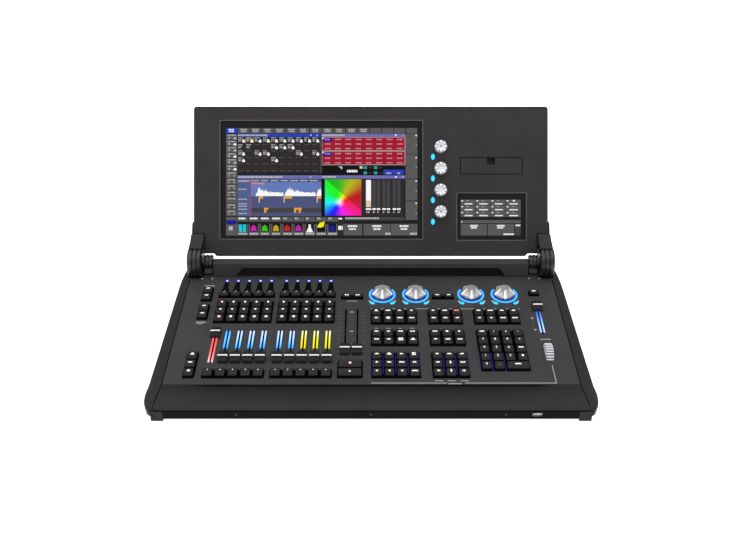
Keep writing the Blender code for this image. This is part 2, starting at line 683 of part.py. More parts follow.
def screen_encoder(name, s, material, screen):
    """A small knob that stands out of the housing's front on its shaft."""
    profile = ((3.0, 22.0), (3.0, -0.8), (11.6, -0.8), (11.2, -10.0), (9.6, -13.8))
    mesh_data = bmesh.new()
    rings = [(r * MM, SCREEN_FRONT + depth * MM, 0.0) for r, depth in profile]
    turned(mesh_data, rings, 24, "Y", (SCREEN_ENCODER_X, 0.0, s))
    make_object(name, mesh_data, material, screen, (SCREEN_ENCODER_X, 0.0, s), smooth=True)


# ---------------------------------------------------------------- controls

def key_group(name, columns, rows, material, desk, size=(KEY_SIZE, KEY_SIZE), wide=None):
    """Keys moulded on one mat under the plate; wide is the row and first column of a double-width key."""
    xs = [columns[0] - size[0] / 2 - MAT_MARGIN_X]
    us = [rows[0] - size[1] / 2 - MAT_MARGIN_U]
    for x in columns:
        xs += [x - size[0] / 2, x + size[0] / 2]
    for u in rows:
        us += [u - size[1] / 2, u + size[1] / 2]
    xs.append(xs[-1] + MAT_MARGIN_X)
    us.append(us[-1] + MAT_MARGIN_U)
    mat_top = -PANEL_THICK - GAP
    mesh_data = bmesh.new()
    grid = [[mesh_data.verts.new((x, u, mat_top - MAT_THICK)) for x in xs] for u in us]
    cells = []
    for j in range(len(us) - 1):
        for i in range(len(xs) - 1):
            corners = (grid[j][i], grid[j][i + 1], grid[j + 1][i + 1], grid[j + 1][i])
            cells.append(mesh_data.faces.new(corners))
    raised = bmesh.ops.extrude_face_region(mesh_data, geom=cells, use_keep_orig=True)
    top = [face for face in raised["geom"] if isinstance(face, bmesh.types.BMFace)]
    top_points = [vert for vert in raised["geom"] if isinstance(vert, bmesh.types.BMVert)]
    bmesh.ops.translate(mesh_data, vec=(0.0, 0.0, MAT_THICK), verts=top_points)
    pads = []
    for face in top:
        center = face.calc_center_median()
        i = sum(1 for x in xs if x < center.x) - 1
        j = sum(1 for u in us if u < center.y) - 1
        is_key = i % 2 == 1 and j % 2 == 1
        is_wide = wide is not None and j == 2 * wide[0] + 1 and i == 2 * wide[1] + 2
        if is_key or is_wide:
            pads.append(face)
    bmesh.ops.dissolve_faces(mesh_data, faces=cells)
    raise_pads(mesh_data, pads, KEY_TOP - KEY_CHAMFER - mat_top, rows)
    make_object(name, mesh_data, material, desk, (columns[0], rows[0], 0.0))
    openings = []
    for x0, x1 in runs(columns, size[0]):
        for u0, u1 in runs(rows, size[1]):
            openings.append((x0, x1, u0, u1))
    return openings


def runs(centers, size):
    """Limits of each run of keys that stand side by side, with the window's margin."""
    limits = []
    for center in centers:
        low = center - size / 2 - WINDOW_MARGIN
        high = center + size / 2 + WINDOW_MARGIN
        if limits and low - limits[-1][1] < 1.0 * MM:
            limits[-1] = (limits[-1][0], high)
        else:
            limits.append((low, high))
    return limits


def raise_pads(mesh_data, pads, height, rows):
    """Raises the key faces, leans their tops towards the operator and chamfers them."""
    raised = bmesh.ops.extrude_face_region(mesh_data, geom=pads)
    faces = [face for face in raised["geom"] if isinstance(face, bmesh.types.BMFace)]
    points = [vert for vert in raised["geom"] if isinstance(vert, bmesh.types.BMVert)]
    bmesh.ops.delete(mesh_data, geom=[face for face in pads if face.is_valid], context="FACES_ONLY")
    for vert in points:
        row = min(rows, key=lambda u: abs(u - vert.co.y))
        vert.co.z += height + (vert.co.y - row) * KEY_RAKE
    bmesh.ops.inset_region(mesh_data, faces=faces, thickness=KEY_CHAMFER, depth=KEY_CHAMFER)


def fader(name, x, u, material, desk, cap_half=10.0 * MM):
    """A fader cap on its blade, with the slider block under the plate."""
    width = 7.8 * MM
    levels = [(-14.0 * MM, 4.0 * MM, 5.0 * MM), (-9.0 * MM, 4.0 * MM, 5.0 * MM)]
    levels += [(-9.0 * MM, 0.7 * MM, 3.5 * MM), (1.0 * MM, 0.7 * MM, 3.5 * MM)]
    levels += [(1.0 * MM, width, cap_half), (3.6 * MM, width, cap_half)]
    levels += [(8.0 * MM, width - 0.2 * MM, 0.58 * cap_half), (11.2 * MM, width - 0.4 * MM, 0.42 * cap_half)]
    levels += [(12.0 * MM, width - 0.9 * MM, 0.34 * cap_half)]
    mesh_data = bmesh.new()
    stack(mesh_data, levels, (x, u))
    make_object(name, mesh_data, material, desk, (x, u, 0.0))


def encoder(name, x, material, desk):
    """A conical knob with six flutes, on its shaft."""
    profile = ((3.0, -12.0, 0.0), (3.0, 1.6, 0.0), (18.6, 1.6, 0.0), (18.4, 5.0, 0.4))
    profile += ((13.6, 11.5, 3.0), (8.6, 17.6, 0.4))
    mesh_data = bmesh.new()
    rings = [(r * MM, v * MM, d * MM) for r, v, d in profile]
    turned(mesh_data, rings, 24, "Z", (x, ENCODER_U, 0.0), lobes=ENCODER_LOBES)
    make_object(name, mesh_data, material, desk, (x, ENCODER_U, 0.0), smooth=True)


def intensity_wheel(material, desk):
    """A thumb wheel on stub axles, half sunk in the plate."""
    axle = 2.0 * MM
    shoulder = 1.0 * MM
    half = WHEEL_WIDTH / 2
    profile = [(axle, -half - 3.0 * MM), (axle, -half), (WHEEL_RADIUS - shoulder, -half)]
    profile += [(WHEEL_RADIUS, -half + shoulder), (WHEEL_RADIUS, half - shoulder)]
    profile += [(WHEEL_RADIUS - shoulder, half), (axle, half), (axle, half + 3.0 * MM)]
    mesh_data = bmesh.new()
    rings = [(radius, x, 0.0) for radius, x in profile]
    turned(mesh_data, rings, 32, "X", (WHEEL_X, WHEEL_U, WHEEL_V))
    make_object("intensity_wheel", mesh_data, material, desk, (WHEEL_X, WHEEL_U, WHEEL_V), smooth=True)


def control_surface(black, rubber, silver, grey, desk):
    """Places every key group, fader, knob and wheel, and returns the plate's openings."""
    playback = columns_from(PLAYBACK_A, 5) + columns_from(PLAYBACK_B, 5)
    windows = []
    page_rows = [164.8 * MM, 184.5 * MM, 213.5 * MM, 233.0 * MM]
    windows += key_group("page_keys", [PAGE_X], page_rows, rubber, desk)
    windows += key_group("nav_keys", [PAGE_X], rows_from(FLASH_U, 3), rubber, desk)
    windows += key_group("select_keys", playback, [SELECT_U], rubber, desk, (KEY_SIZE, 13.0 * MM))
    windows += key_group("playback_keys", playback, rows_from(PLAYBACK_U, 3), rubber, desk)
    windows += key_group("flash_keys", playback, [FLASH_U], rubber, desk)
    windows += key_group("pause_key", [GO_X], [42.8 * MM], rubber, desk, (GO_WIDTH, KEY_SIZE))
    windows += key_group("go_key", [GO_X], [FLASH_U], rubber, desk, (GO_WIDTH, KEY_SIZE))
    small = (KEY_SIZE, 10.0 * MM)
    windows += key_group("skip_keys", list(CROSSFADER_X), [SMALL_KEY_U], rubber, desk, small)
    middle_pair = columns_from(114.7 * MM, 2)
    windows += key_group("encoder_page_keys", middle_pair, [SMALL_KEY_U], rubber, desk, small)
    windows += key_group("master_key", [MASTER_X], [226.0 * MM], rubber, desk, (KEY_SIZE, 12.0 * MM))
    rows = rows_from(FLASH_U, 3) + rows_from(MIDDLE_U, 2) + rows_from(UPPER_U, 2)
    windows += key_group("left_function_keys", columns_from(LEFT_X, 4), rows, rubber, desk)
    windows += key_group("mid_function_keys", columns_from(MID_X, 3), rows, rubber, desk)
    right = columns_from(RIGHT_X, 4)
    windows += key_group("right_function_keys", right, rows_from(UPPER_U, 2), rubber, desk)
    windows += key_group("number_keys", right, rows_from(KEYPAD_U, 5), rubber, desk, wide=(0, 2))

    slots = []
    for number, x in enumerate(playback, start=1):
        rest = FADER_U + (FADER_TRAVEL if number == 1 else 0.0)
        fader(f"fader_{number}", x, rest, black, desk)
        slots.append((x - 1.2 * MM, x + 1.2 * MM, 50.0 * MM, 128.0 * MM))
    for name, x in zip(("crossfader_left", "crossfader_right"), CROSSFADER_X):
        fader(name, x, CROSSFADER_U, black, desk)
        slots.append((x - 1.4 * MM, x + 1.4 * MM, 69.0 * MM, 185.5 * MM))
    fader("master_fader", MASTER_X, MASTER_U + FADER_TRAVEL, black, desk)
    slots.append((MASTER_X - 1.2 * MM, MASTER_X + 1.2 * MM, 118.0 * MM, 195.0 * MM))
    chord = 20.9 * MM
    half_width = WHEEL_WIDTH / 2 + 0.8 * MM
    slots.append((WHEEL_X - half_width, WHEEL_X + half_width, WHEEL_U - chord, WHEEL_U + chord))

    holes = []
    for number, x in enumerate(ENCODER_X, start=1):
        encoder(f"encoder_{number}", x, silver, desk)
        holes.append((x, ENCODER_U, 3.6 * MM))
    intensity_wheel(grey, desk)
    return windows, slots, holes


def main():
    clear_scene()
    black = plain_material("black_plastic", (0.02, 0.02, 0.022), 0.45)
    casing = plain_material("casing_grey", (0.045, 0.043, 0.046), 0.55)
    panel = plain_material("panel_grey", (0.055, 0.053, 0.056), 0.5)
    rubber = plain_material("key_plastic", (0.022, 0.022, 0.024), 0.4)
    silver = plain_material("knob_silver", (0.72, 0.72, 0.74), 0.28, 0.6)
    grey = plain_material("wheel_grey", (0.6, 0.6, 0.62), 0.4)
    steel = plain_material("steel", (0.55, 0.55, 0.57), 0.3, 1.0)
    board = plain_material("board_green", (0.03, 0.16, 0.07), 0.5)
    glass = plain_material("display_glass", (0.01, 0.01, 0.012), 0.08)
    feet = plain_material("foot_rubber", (0.03, 0.03, 0.03), 0.8)

    desk = make_empty("desk_frame", (0.0, CREASE_Y, CREASE_Z), SLOPE)
    screen = make_empty("screen_frame", hinge_point(), -SCREEN_TILT)

    palm_rest(casing)
    base_pan(panel)
    rear_panel(panel)
    hump_cover(casing, desk)
    front_usb_socket(steel)
    power_inlet(black)
    mainboard(board)
    power_supply(steel)
    for word, side in (("left", -1), ("right", 1)):
        cheek(word + "_cheek", side, casing)
        foot_rail(word + "_foot_rail", side, feet)
        knuckle(word + "_knuckle", side, casing, desk)
        hinge_pin(word + "_hinge_pin", side, steel)
        hinge_arm(word + "_hinge_arm", side, casing, screen)

    windows, slots, holes = control_surface(black, rubber, silver, grey, desk)
    control_panel(panel, desk, windows, slots, holes)

    screen_bezel(casing, screen)
    screen_back(casing, screen)
    display("main_display", MAIN_OPENING, glass, screen)
    display("side_display", SIDE_OPENING, glass, screen)
    media_hatch(casing, screen)
    for number, s in enumerate(screen_encoder_heights(), start=1):
        screen_encoder(f"screen_encoder_{number}", s, silver, screen)


main()
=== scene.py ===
"""Looks of the lighting control desk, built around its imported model.

Meshes are drawn in millimetres in one of three frames and turned into metres when they are made:
BASE   X, Y rearwards from the front edge of the control surface, Z up
DESK   X, u rearwards along the control surface, v out of it
SCREEN X, s up along the screen housing from the hinge axis, w out of its front
"""
import json
import math
import random

import bmesh
import bpy
from mathutils import Matrix, Vector


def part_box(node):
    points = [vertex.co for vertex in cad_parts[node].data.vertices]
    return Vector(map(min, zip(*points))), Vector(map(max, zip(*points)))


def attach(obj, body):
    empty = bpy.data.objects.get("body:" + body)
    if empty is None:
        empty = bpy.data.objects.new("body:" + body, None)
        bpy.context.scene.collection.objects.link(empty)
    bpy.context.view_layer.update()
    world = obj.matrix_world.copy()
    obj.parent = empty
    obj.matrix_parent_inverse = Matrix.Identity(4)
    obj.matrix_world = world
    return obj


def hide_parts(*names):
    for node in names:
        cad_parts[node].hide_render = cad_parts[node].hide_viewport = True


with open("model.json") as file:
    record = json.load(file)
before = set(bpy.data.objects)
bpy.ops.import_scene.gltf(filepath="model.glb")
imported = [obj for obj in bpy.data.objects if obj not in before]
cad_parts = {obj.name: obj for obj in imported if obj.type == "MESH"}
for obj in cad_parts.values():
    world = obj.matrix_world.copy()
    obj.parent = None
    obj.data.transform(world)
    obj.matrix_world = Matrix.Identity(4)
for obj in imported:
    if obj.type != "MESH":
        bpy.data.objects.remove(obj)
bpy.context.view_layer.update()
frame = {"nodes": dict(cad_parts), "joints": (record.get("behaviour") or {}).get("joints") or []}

MM = 0.001
NODES = frame["nodes"]
JOINTS = {joint["name"]: joint for joint in frame["joints"]}

# Places along the control surface that the frame's joints are measured from
ENCODER_U = 223.7
FIRST_ENCODER_X = 19.7
PLATE_HALF = 321.85


def axis_of(joint):
    return Vector(JOINTS[joint]["axis"]).normalized()


def point_of(joint):
    return Vector(JOINTS[joint]["pos_m"])


def frame_matrix(origin, x, y, z):
    """A matrix from three axes and an origin in metres, for meshes drawn in millimetres."""
    matrix = Matrix((x, y, z)).transposed().to_4x4()
    matrix.translation = origin
    return matrix


X_AXIS = Vector((1, 0, 0))
U_AXIS = axis_of("fader_2_travel")
V_AXIS = axis_of("encoder_1_turn")
W_AXIS = axis_of("screen_encoder_1_turn")
S_AXIS = W_AXIS.cross(X_AXIS)
DESK_ORIGIN = point_of("encoder_1_turn") - X_AXIS * FIRST_ENCODER_X * MM - U_AXIS * ENCODER_U * MM
DESK = frame_matrix(DESK_ORIGIN, X_AXIS, U_AXIS, V_AXIS)
SCREEN = frame_matrix(point_of("screen_tilt"), X_AXIS, S_AXIS, W_AXIS)
BASE = Matrix.Translation((0, DESK_ORIGIN.y, 0))
SLOPE = math.atan2(U_AXIS.z, U_AXIS.y)
CREASE_Z = DESK_ORIGIN.z / MM


def middle_of(node):
    """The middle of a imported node's box, in millimetres."""
    return [(low + high) / 2 / MM for low, high in zip(*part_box(node))]


# ---------------------------------------------------------------- mesh helpers

def to_data(name, mesh):
    """Turns a bmesh in millimetres into mesh data in metres."""
    mesh.transform(Matrix.Scale(MM, 4))
    bmesh.ops.recalc_face_normals(mesh, faces=mesh.faces)
    data = bpy.data.meshes.new(name)
    mesh.to_mesh(data)
    mesh.free()
    return data


def place(name, data):
    """A new object in the scene that shows the data."""
    item = bpy.data.objects.new(name, data)
    bpy.context.scene.collection.objects.link(item)
    return item


def make(name, mesh, finish, body, matrix, smooth=35, bevel=0, segments=2, replaces=()):
    """Turns a bmesh in millimetres into a piece with one or more finishes that rides on a body."""
    data = to_data(name, mesh)
    for material in [finish] if isinstance(finish, str) else finish:
        data.materials.append(PAINT[material])
    if smooth:
        data.shade_smooth()
        data.set_sharp_from_angle(angle=math.radians(smooth))
    piece = place(name, data)
    piece.matrix_world = matrix
    if bevel:
        add_bevel(piece, bevel, segments)
    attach(piece, body)
    if replaces:
        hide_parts(*replaces)
    return piece


def add_bevel(piece, width, segments=2):
    modifier = piece.modifiers.new("edges", "BEVEL")
    modifier.width = width * MM
    modifier.segments = segments
    modifier.limit_method = "ANGLE"
    modifier.angle_limit = math.radians(30)
    modifier.use_clamp_overlap = True


def loft(mesh, sections, slot=0):
    """Joins closed sections of equal point count, and caps both ends; slot is one number or one per band."""
    rings = [[mesh.verts.new(point) for point in section] for section in sections]
    slots = slot if isinstance(slot, list) else [slot] * (len(rings) - 1)
    for band, (lower, upper) in enumerate(zip(rings, rings[1:])):
        for i in range(len(lower)):
            j = (i + 1) % len(lower)
            face = mesh.faces.new((lower[i], lower[j], upper[j], upper[i]))
            face.material_index = slots[band]
    mesh.faces.new(list(reversed(rings[0]))).material_index = slots[0]
    mesh.faces.new(rings[-1]).material_index = slots[-1]
    return mesh


def bridge(mesh, rings):
    """Joins closed rings of equal point count, the last one to the first, into an open-centred ring."""
    rings = [[mesh.verts.new(point) for point in ring] for ring in rings]
    for near, far in zip(rings, rings[1:] + rings[:1]):
        for i in range(len(near)):
            j = (i + 1) % len(near)
            mesh.faces.new((near[i], near[j], far[j], far[i]))


def slab(mesh, outline, low, high, slot=0):
    """A plate with the outline in the frame's first two axes, between two heights."""
    return loft(mesh, [[(a, b, z) for a, b in outline] for z in (low, high)], slot)


def prism_x(mesh, outline, low, high):
    return loft(mesh, [[(x, a, b) for a, b in outline] for x in (low, high)])


def block(mesh, x, y, z):
    return slab(mesh, rectangle(*x, *y), *z)


def mirrored(near, far):
    """The x spans between two distances from the middle, left and right."""
    return [tuple(sorted((side * near, side * far))) for side in (-1, 1)]


def rectangle(x0, x1, y0, y1):
    return [(x0, y0), (x1, y0), (x1, y1), (x0, y1)]


def arc(center, radius, start, end, steps):
    """Points on a circle, or on an ellipse with two radii, between two angles in degrees."""
    a, b = radius if isinstance(radius, tuple) else (radius, radius)
    points = []
    for i in range(steps + 1):
        angle = math.radians(start + (end - start) * i / steps)
        points.append((center[0] + a * math.cos(angle), center[1] + b * math.sin(angle)))
    return points


def rounded(x0, x1, y0, y1, radius, steps=3):
    right, left, rear, front = x1 - radius, x0 + radius, y1 - radius, y0 + radius
    points = []
    for k, center in enumerate(((right, rear), (left, rear), (left, front), (right, front))):
        points += arc(center, radius, 90 * k, 90 * k + 90, steps)
    return points


def ellipse(x, y, a, b, steps=16):
    return arc((x, y), (a, b), 0, 360, steps)[:-1]


def turned(mesh, profile, segments, axis="Z", center=(0, 0, 0), reach=None):
    """A turned solid from (radius, height) points; reach may change the radius round the axis."""
    sections = []
    for row, (radius, height) in enumerate(profile):
        ring = []
        for i in range(segments):
            angle = 2 * math.pi * i / segments
            r = reach(row, radius, angle) if reach else radius
            a, b = r * math.cos(angle), r * math.sin(angle)
            offset = (height, a, b) if axis == "X" else (a, b, height)
            ring.append([c + d for c, d in zip(center, offset)])
        sections.append(ring)
    return loft(mesh, sections)


def smooth_step(value):
    value = min(max(value, 0), 1)
    return value * value * (3 - 2 * value)


def frange(first, pitch, count):
    return [first + pitch * i for i in range(count)]


# ---------------------------------------------------------------- materials

PAINT = {}


def shaded(color, factor):
    return tuple(min(channel * factor, 1) for channel in color)


class Surface:
    """A new material by name, with short calls that add nodes to it and join them."""

    def __init__(self, name, color, roughness, metallic=0, specular=None):
        material = PAINT[name] = bpy.data.materials.new(name)
        material.use_nodes = True
        self.tree = material.node_tree
        self.shader = self.tree.nodes["Principled BSDF"]
        self.feed("Base Color", color)
        self.feed("Roughness", roughness)
        self.feed("Metallic", metallic)
        if specular is not None:
            self.feed("Specular IOR Level", specular)
        self.position = self.node("TexCoord").outputs["Object"]

    def node(self, kind, **values):
        node = self.tree.nodes.new("ShaderNode" + kind)
        for name, value in values.items():
            setattr(node, name, value)
        return node

    def join(self, value, socket):
        """Sets a socket to a number or colour, or links another socket to it."""
        if isinstance(value, bpy.types.NodeSocket):
            self.tree.links.new(value, socket)
        elif isinstance(value, tuple) and socket.type == "RGBA":
            socket.default_value = (*value, 1)
        elif value is not None:
            socket.default_value = value

    def feed(self, name, value):
        self.join(value, self.shader.inputs[name])

    def filled(self, kind, inputs, **values):
        """A node with its named or numbered inputs joined."""
        node = self.node(kind, **values)
        for key, value in inputs.items():
            self.join(value, node.inputs[key])
        return node

    def noise(self, scale, detail=3, roughness=0.55, vector=None):
        inputs = {"Scale": scale, "Detail": detail, "Roughness": roughness, "Vector": vector or self.position}
        return self.filled("TexNoise", inputs).outputs["Fac"]

    def remap(self, value, low, high, out_low=0, out_high=1):
        inputs = {"Value": value, "From Min": low, "From Max": high, "To Min": out_low, "To Max": out_high}
        return self.filled("MapRange", inputs).outputs["Result"]

    def mix(self, factor, first, second, blend="MIX"):
        """Two colours mixed; the node numbers its colour sockets 6 and 7, and its colour result 2."""
        inputs = {0: factor, 6: first, 7: second}
        return self.filled("Mix", inputs, data_type="RGBA", blend_type=blend).outputs[2]

    def math(self, operation, first, second=None):
        return self.filled("Math", {0: first, 1: second}, operation=operation).outputs[0]

    def total(self, first, first_weight, second, second_weight):
        parts = [self.math("MULTIPLY", *pair) for pair in ((first, first_weight), (second, second_weight))]
        return self.math("ADD", *parts)

    def bump(self, height, strength, distance):
        node = self.filled("Bump", {"Strength": strength, "Distance": distance, "Height": height})
        self.feed("Normal", node.outputs["Normal"])

    def split(self):
        return self.filled("SeparateXYZ", {"Vector": self.position}).outputs

    def glow(self, color, strength):
        self.feed("Emission Color", color)
        self.feed("Emission Strength", strength)


def moulded(name, color, roughness, grain=0.35, grain_size=0.7, wear=0, patch=0.10, specular=0.12):
    """Moulded or coated surface: fine grain, slow patches of tone and gloss, and paler rubbed edges."""
    surface = Surface(name, color, roughness, specular=specular)
    fine = surface.noise(1 / (grain_size * MM), 4)
    tone = surface.remap(surface.noise(14), 0.3, 0.7)
    smudge = surface.noise(55, 5, 0.65)
    base = surface.mix(tone, shaded(color, 1 - patch), shaded(color, 1 + patch))
    speck = surface.math("MULTIPLY", surface.remap(fine, 0.35, 0.7), 0.16)
    base = surface.mix(speck, base, shaded(color, 1.7))
    if wear:
        edge = surface.filled("Bevel", {"Radius": 0.0011}, samples=3).outputs["Normal"]
        normal = surface.node("NewGeometry").outputs["Normal"]
        dot = surface.filled("VectorMath", {0: edge, 1: normal}, operation="DOT_PRODUCT")
        worn = surface.remap(dot.outputs["Value"], 0.985, 0.80)
        worn = surface.math("MULTIPLY", worn, surface.remap(smudge, 0.35, 0.65, 0.2, 1))
        base = surface.mix(surface.math("MULTIPLY", worn, wear), base, shaded(color, 3.2))
    surface.feed("Base Color", base)
    surface.feed("Roughness", surface.remap(smudge, 0.3, 0.7, roughness - 0.06, roughness + 0.07))
    surface.bump(fine, grain, 0.00012)
    return surface


def paint_crease_shade(surface):
    """Paints shade on the palm rest's moulding: darker towards the crease under the panel's front edge."""
    source = surface.shader.inputs["Base Color"].links[0].from_socket
    level = surface.remap(surface.split()[1], -0.044, -0.006, 1.12, 0.62)
    shade = surface.filled("CombineColor", {0: level, 1: level, 2: level}).outputs["Color"]
    surface.feed("Base Color", surface.mix(1, source, shade, "MULTIPLY"))


def lit(name, color, strength, base=0.5, variation=0.08):
    """Translucent plastic lit from behind, slightly uneven."""
    surface = Surface(name, shaded(color, base), 0.35, specular=0.06)
    uneven = surface.remap(surface.noise(420, 2), 0.3, 0.7, 1 - variation, 1 + variation)
    glow = surface.mix(surface.remap(uneven, 0.9, 1.1), shaded(color, 1 - variation), color)
    surface.glow(glow, strength)


def lit_ramp(name, stops, start, end, strength):
    """Lit plastic whose colour runs along the deck, between two distances in mm."""
    surface = Surface(name, shaded(stops[0][1], 0.1), 0.3, specular=0.1)
    along = surface.remap(surface.split()[1], start * MM, end * MM)
    wobble = surface.remap(surface.noise(300, 2), 0.3, 0.7, -0.03, 0.03)
    ramp = surface.filled("ValToRGB", {"Fac": surface.math("ADD", along, wobble)})
    elements = ramp.color_ramp.elements
    for element, (level, color) in zip(elements, (stops[0], stops[-1])):
        element.position = level
        element.color = (*color, 1)
    for level, color in stops[1:-1]:
        elements.new(level).color = (*color, 1)
    surface.glow(ramp.outputs["Color"], strength)


def printed(name, color):
    """Screen-printed ink: matt, with thin and worn patches."""
    surface = Surface(name, color, 0.6)
    thin = surface.remap(surface.noise(700, 4, 0.7), 0.35, 0.65, 0, 0.35)
    surface.feed("Base Color", surface.mix(thin, color, shaded(color, 0.55)))
    surface.bump(surface.noise(1600), 0.2, 0.00005)


def metal(name, color, roughness):
    """Bare metal with fine brushed streaks."""
    surface = Surface(name, color, roughness, 1)
    stretched = surface.filled("Mapping", {"Vector": surface.position, "Scale": (40, 900, 900)})
    streak = surface.noise(1, 4, vector=stretched.outputs["Vector"])
    surface.feed("Roughness", surface.remap(streak, 0.3, 0.7, roughness - 0.08, roughness + 0.1))
    tone = surface.remap(streak, 0.3, 0.7)
    surface.feed("Base Color", surface.mix(tone, shaded(color, 0.88), shaded(color, 1.05)))
    surface.bump(streak, 0.25, 0.00005)


def knob_metal(name, color, roughness):
    """Silver lacquer on a small knob: slow patches of tone and tiny flakes, under a thin clear coat."""
    surface = Surface(name, color, roughness, 0.35)
    flakes = surface.noise(3500, 2)
    tone = surface.remap(surface.noise(160), 0.3, 0.7)
    surface.feed("Base Color", surface.mix(tone, shaded(color, 0.9), shaded(color, 1.04)))
    surface.feed("Roughness", surface.remap(flakes, 0.3, 0.7, roughness - 0.06, roughness + 0.08))
    surface.bump(flakes, 0.12, 0.00004)
    surface.feed("Coat Weight", 0.25)
    surface.feed("Coat Roughness", 0.15)


def glass_black(name, color, roughness):
    """The dark glass of a display that is lit behind it, with a trace of dust."""
    surface = Surface(name, color, roughness, specular=0.15)
    dust = surface.noise(35, 6, 0.7)
    surface.feed("Roughness", surface.remap(dust, 0.4, 0.75, roughness, roughness + 0.12))
    tone = surface.remap(dust, 0.45, 0.8, 0, 0.25)
    surface.feed("Base Color", surface.mix(tone, color, shaded(color, 1.8)))


def board_green():
    """Solder mask with copper tracks seen through it."""
    color = (0.02, 0.12, 0.05)
    surface = Surface("board_green", color, 0.35)
    tracks = surface.node("TexVoronoi", distance="MANHATTAN", feature="DISTANCE_TO_EDGE")
    surface.join(260, tracks.inputs["Scale"])
    surface.join(surface.position, tracks.inputs["Vector"])
    copper = surface.remap(tracks.outputs["Distance"], 0.04, 0.08, 1, 0)
    surface.feed("Base Color", surface.mix(copper, color, (0.05, 0.22, 0.09)))
    surface.bump(copper, 0.3, 0.00004)


def make_materials():
    """Every material that more than one piece uses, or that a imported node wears."""
    moulded("casing", (0.0160, 0.0155, 0.0158), 0.5, wear=0.5)
    # The palm rest's moulding, with painted shade darkening it towards the crease under the panel.
    paint_crease_shade(moulded("palm_casing", (0.0160, 0.0155, 0.0158), 0.5, wear=0.5))
    moulded("screen_casing", (0.023, 0.021, 0.022), 0.46, wear=0.5)
    moulded("panel", (0.033, 0.0322, 0.0328), 0.46, grain=0.25, grain_size=0.5, wear=0.25)
    moulded("hinge_casing", (0.011, 0.0105, 0.011), 0.3, grain=0.2, wear=0.4, specular=0.4)
    # Near-black, for the seams and joints, and for the shadow painted under the front lip.
    moulded("dark_lining", (0.0022, 0.002, 0.002), 0.6, grain=0.3, specular=0.03)
    # A darker sheet for the inside of the hump's recess: painted shade.
    moulded("recess_lining", (0.0075, 0.006, 0.0065), 0.55, grain=0.3, specular=0.06)
    moulded("front_strip", (0.0036, 0.0034, 0.0036), 0.5, grain=0.3, wear=0.3, specular=0.05)
    moulded("pan_coating", (0.007, 0.007, 0.0072), 0.5, grain=0.3, wear=0.3, specular=0.06)
    # The key plastic painted much darker for the skirts, shoulders and the plate under the caps: painted
    # shade.
    moulded("key_skirt_shade", (0.0016, 0.0016, 0.0017), 0.5, grain=0.2, grain_size=0.35, specular=0.04)
    moulded("key_top", (0.0135, 0.0132, 0.0132), 0.4, grain=0.15, grain_size=0.35)
    moulded("fader_cap", (0.012, 0.012, 0.0125), 0.38, grain=0.2, grain_size=0.35)
    moulded("foot_rubber", (0.022, 0.022, 0.022), 0.8, grain=0.6, grain_size=0.9)
    # A darker copy of the wheel grey for the rib valleys: painted shade.
    moulded("wheel_valley_shade", (0.20, 0.20, 0.24), 0.45, grain=0.15, patch=0.05)
    moulded("wheel_grey", (0.60, 0.59, 0.60), 0.38, grain=0.15, patch=0.05)
    moulded("knob_top", (0.20, 0.20, 0.205), 0.45, grain=0.1, grain_size=0.3)
    moulded("usb_tongue", (0.65, 0.65, 0.66), 0.4)
    knob_metal("knob_silver", (0.42, 0.415, 0.41), 0.3)
    # A brighter copy of the knob silver: painted highlight on the encoder ridges.
    knob_metal("knob_ridge_highlight", (0.86, 0.86, 0.86), 0.2)
    knob_metal("knob_bright", (0.70, 0.70, 0.74), 0.3)
    # A darker copy of the knob silver for the top sectors: painted reflection.
    knob_metal("knob_dark_reflection", (0.28, 0.28, 0.31), 0.3)
    metal("steel", (0.62, 0.62, 0.64), 0.28)
    metal("supply_sheet", (0.55, 0.55, 0.56), 0.38)
    metal("contact_brass", (0.75, 0.58, 0.28), 0.3)
    metal("screw_black", (0.05, 0.05, 0.05), 0.4)
    board_green()
    glass_black("display_glass", (0.006, 0.006, 0.007), 0.09)
    printed("ink_grey", (0.30, 0.29, 0.29))
    printed("ink_dim", (0.115, 0.11, 0.11))
    printed("ink_white", (0.72, 0.71, 0.70))
    printed("cap_line", (0.78, 0.76, 0.75))
    # The display recesses' rim, a matt colour lighter than the casing: painted highlight on the chamfer, not
    # ink.
    printed("recess_rim", (0.055, 0.053, 0.054))
    lit("legend_white", (0.80, 0.80, 0.79), 0.8, 0.6)
    lit("legend_pink", (1, 0.50, 0.50), 0.95, 0.7)
    lit("legend_red", (1, 0.22, 0.18), 0.95, 0.7)
    lit("led_blue", (0.42, 0.50, 1), 1.1)
    lit("lamp_halo", (0.006, 0.006, 0.28), 0.9)
    lit("glow_deep_blue", (0.012, 0.012, 0.16), 0.9)
    lit("oval_cyan", (0.04, 0.55, 0.95), 1)
    lit("ring_cyan", (0.05, 0.40, 0.98), 1)
    lit("ring_deep", (0.02, 0.06, 0.55), 0.9)


# ---------------------------------------------------------------- camera, floor and light

def camera():
    data = bpy.data.cameras.new("camera")
    data.sensor_width = 36
    data.lens = 43.23
    data.shift_x = -0.00433
    item = place("camera", data)
    item.location = (-0.0030, DESK_ORIGIN.y - 1.1154, 0.8007)
    item.rotation_euler = (math.radians(62.25), 0, 0)
    bpy.context.scene.camera = item


def floor():
    """A large pale floor that fills the view."""
    surface = Surface("floor_white", (0.90, 0.90, 0.90), 0.7, specular=0.1)
    tone = surface.remap(surface.noise(3), 0.3, 0.7)
    surface.feed("Base Color", surface.mix(tone, (0.89, 0.89, 0.89), (0.92, 0.92, 0.92)))
    surface.glow((1, 1, 1), 0.8)
    mesh = bmesh.new()
    bmesh.ops.create_grid(mesh, x_segments=1, y_segments=1, size=14)
    data = bpy.data.meshes.new("floor")
    mesh.to_mesh(data)
    mesh.free()
    data.materials.append(PAINT["floor_white"])
    place("floor", data)


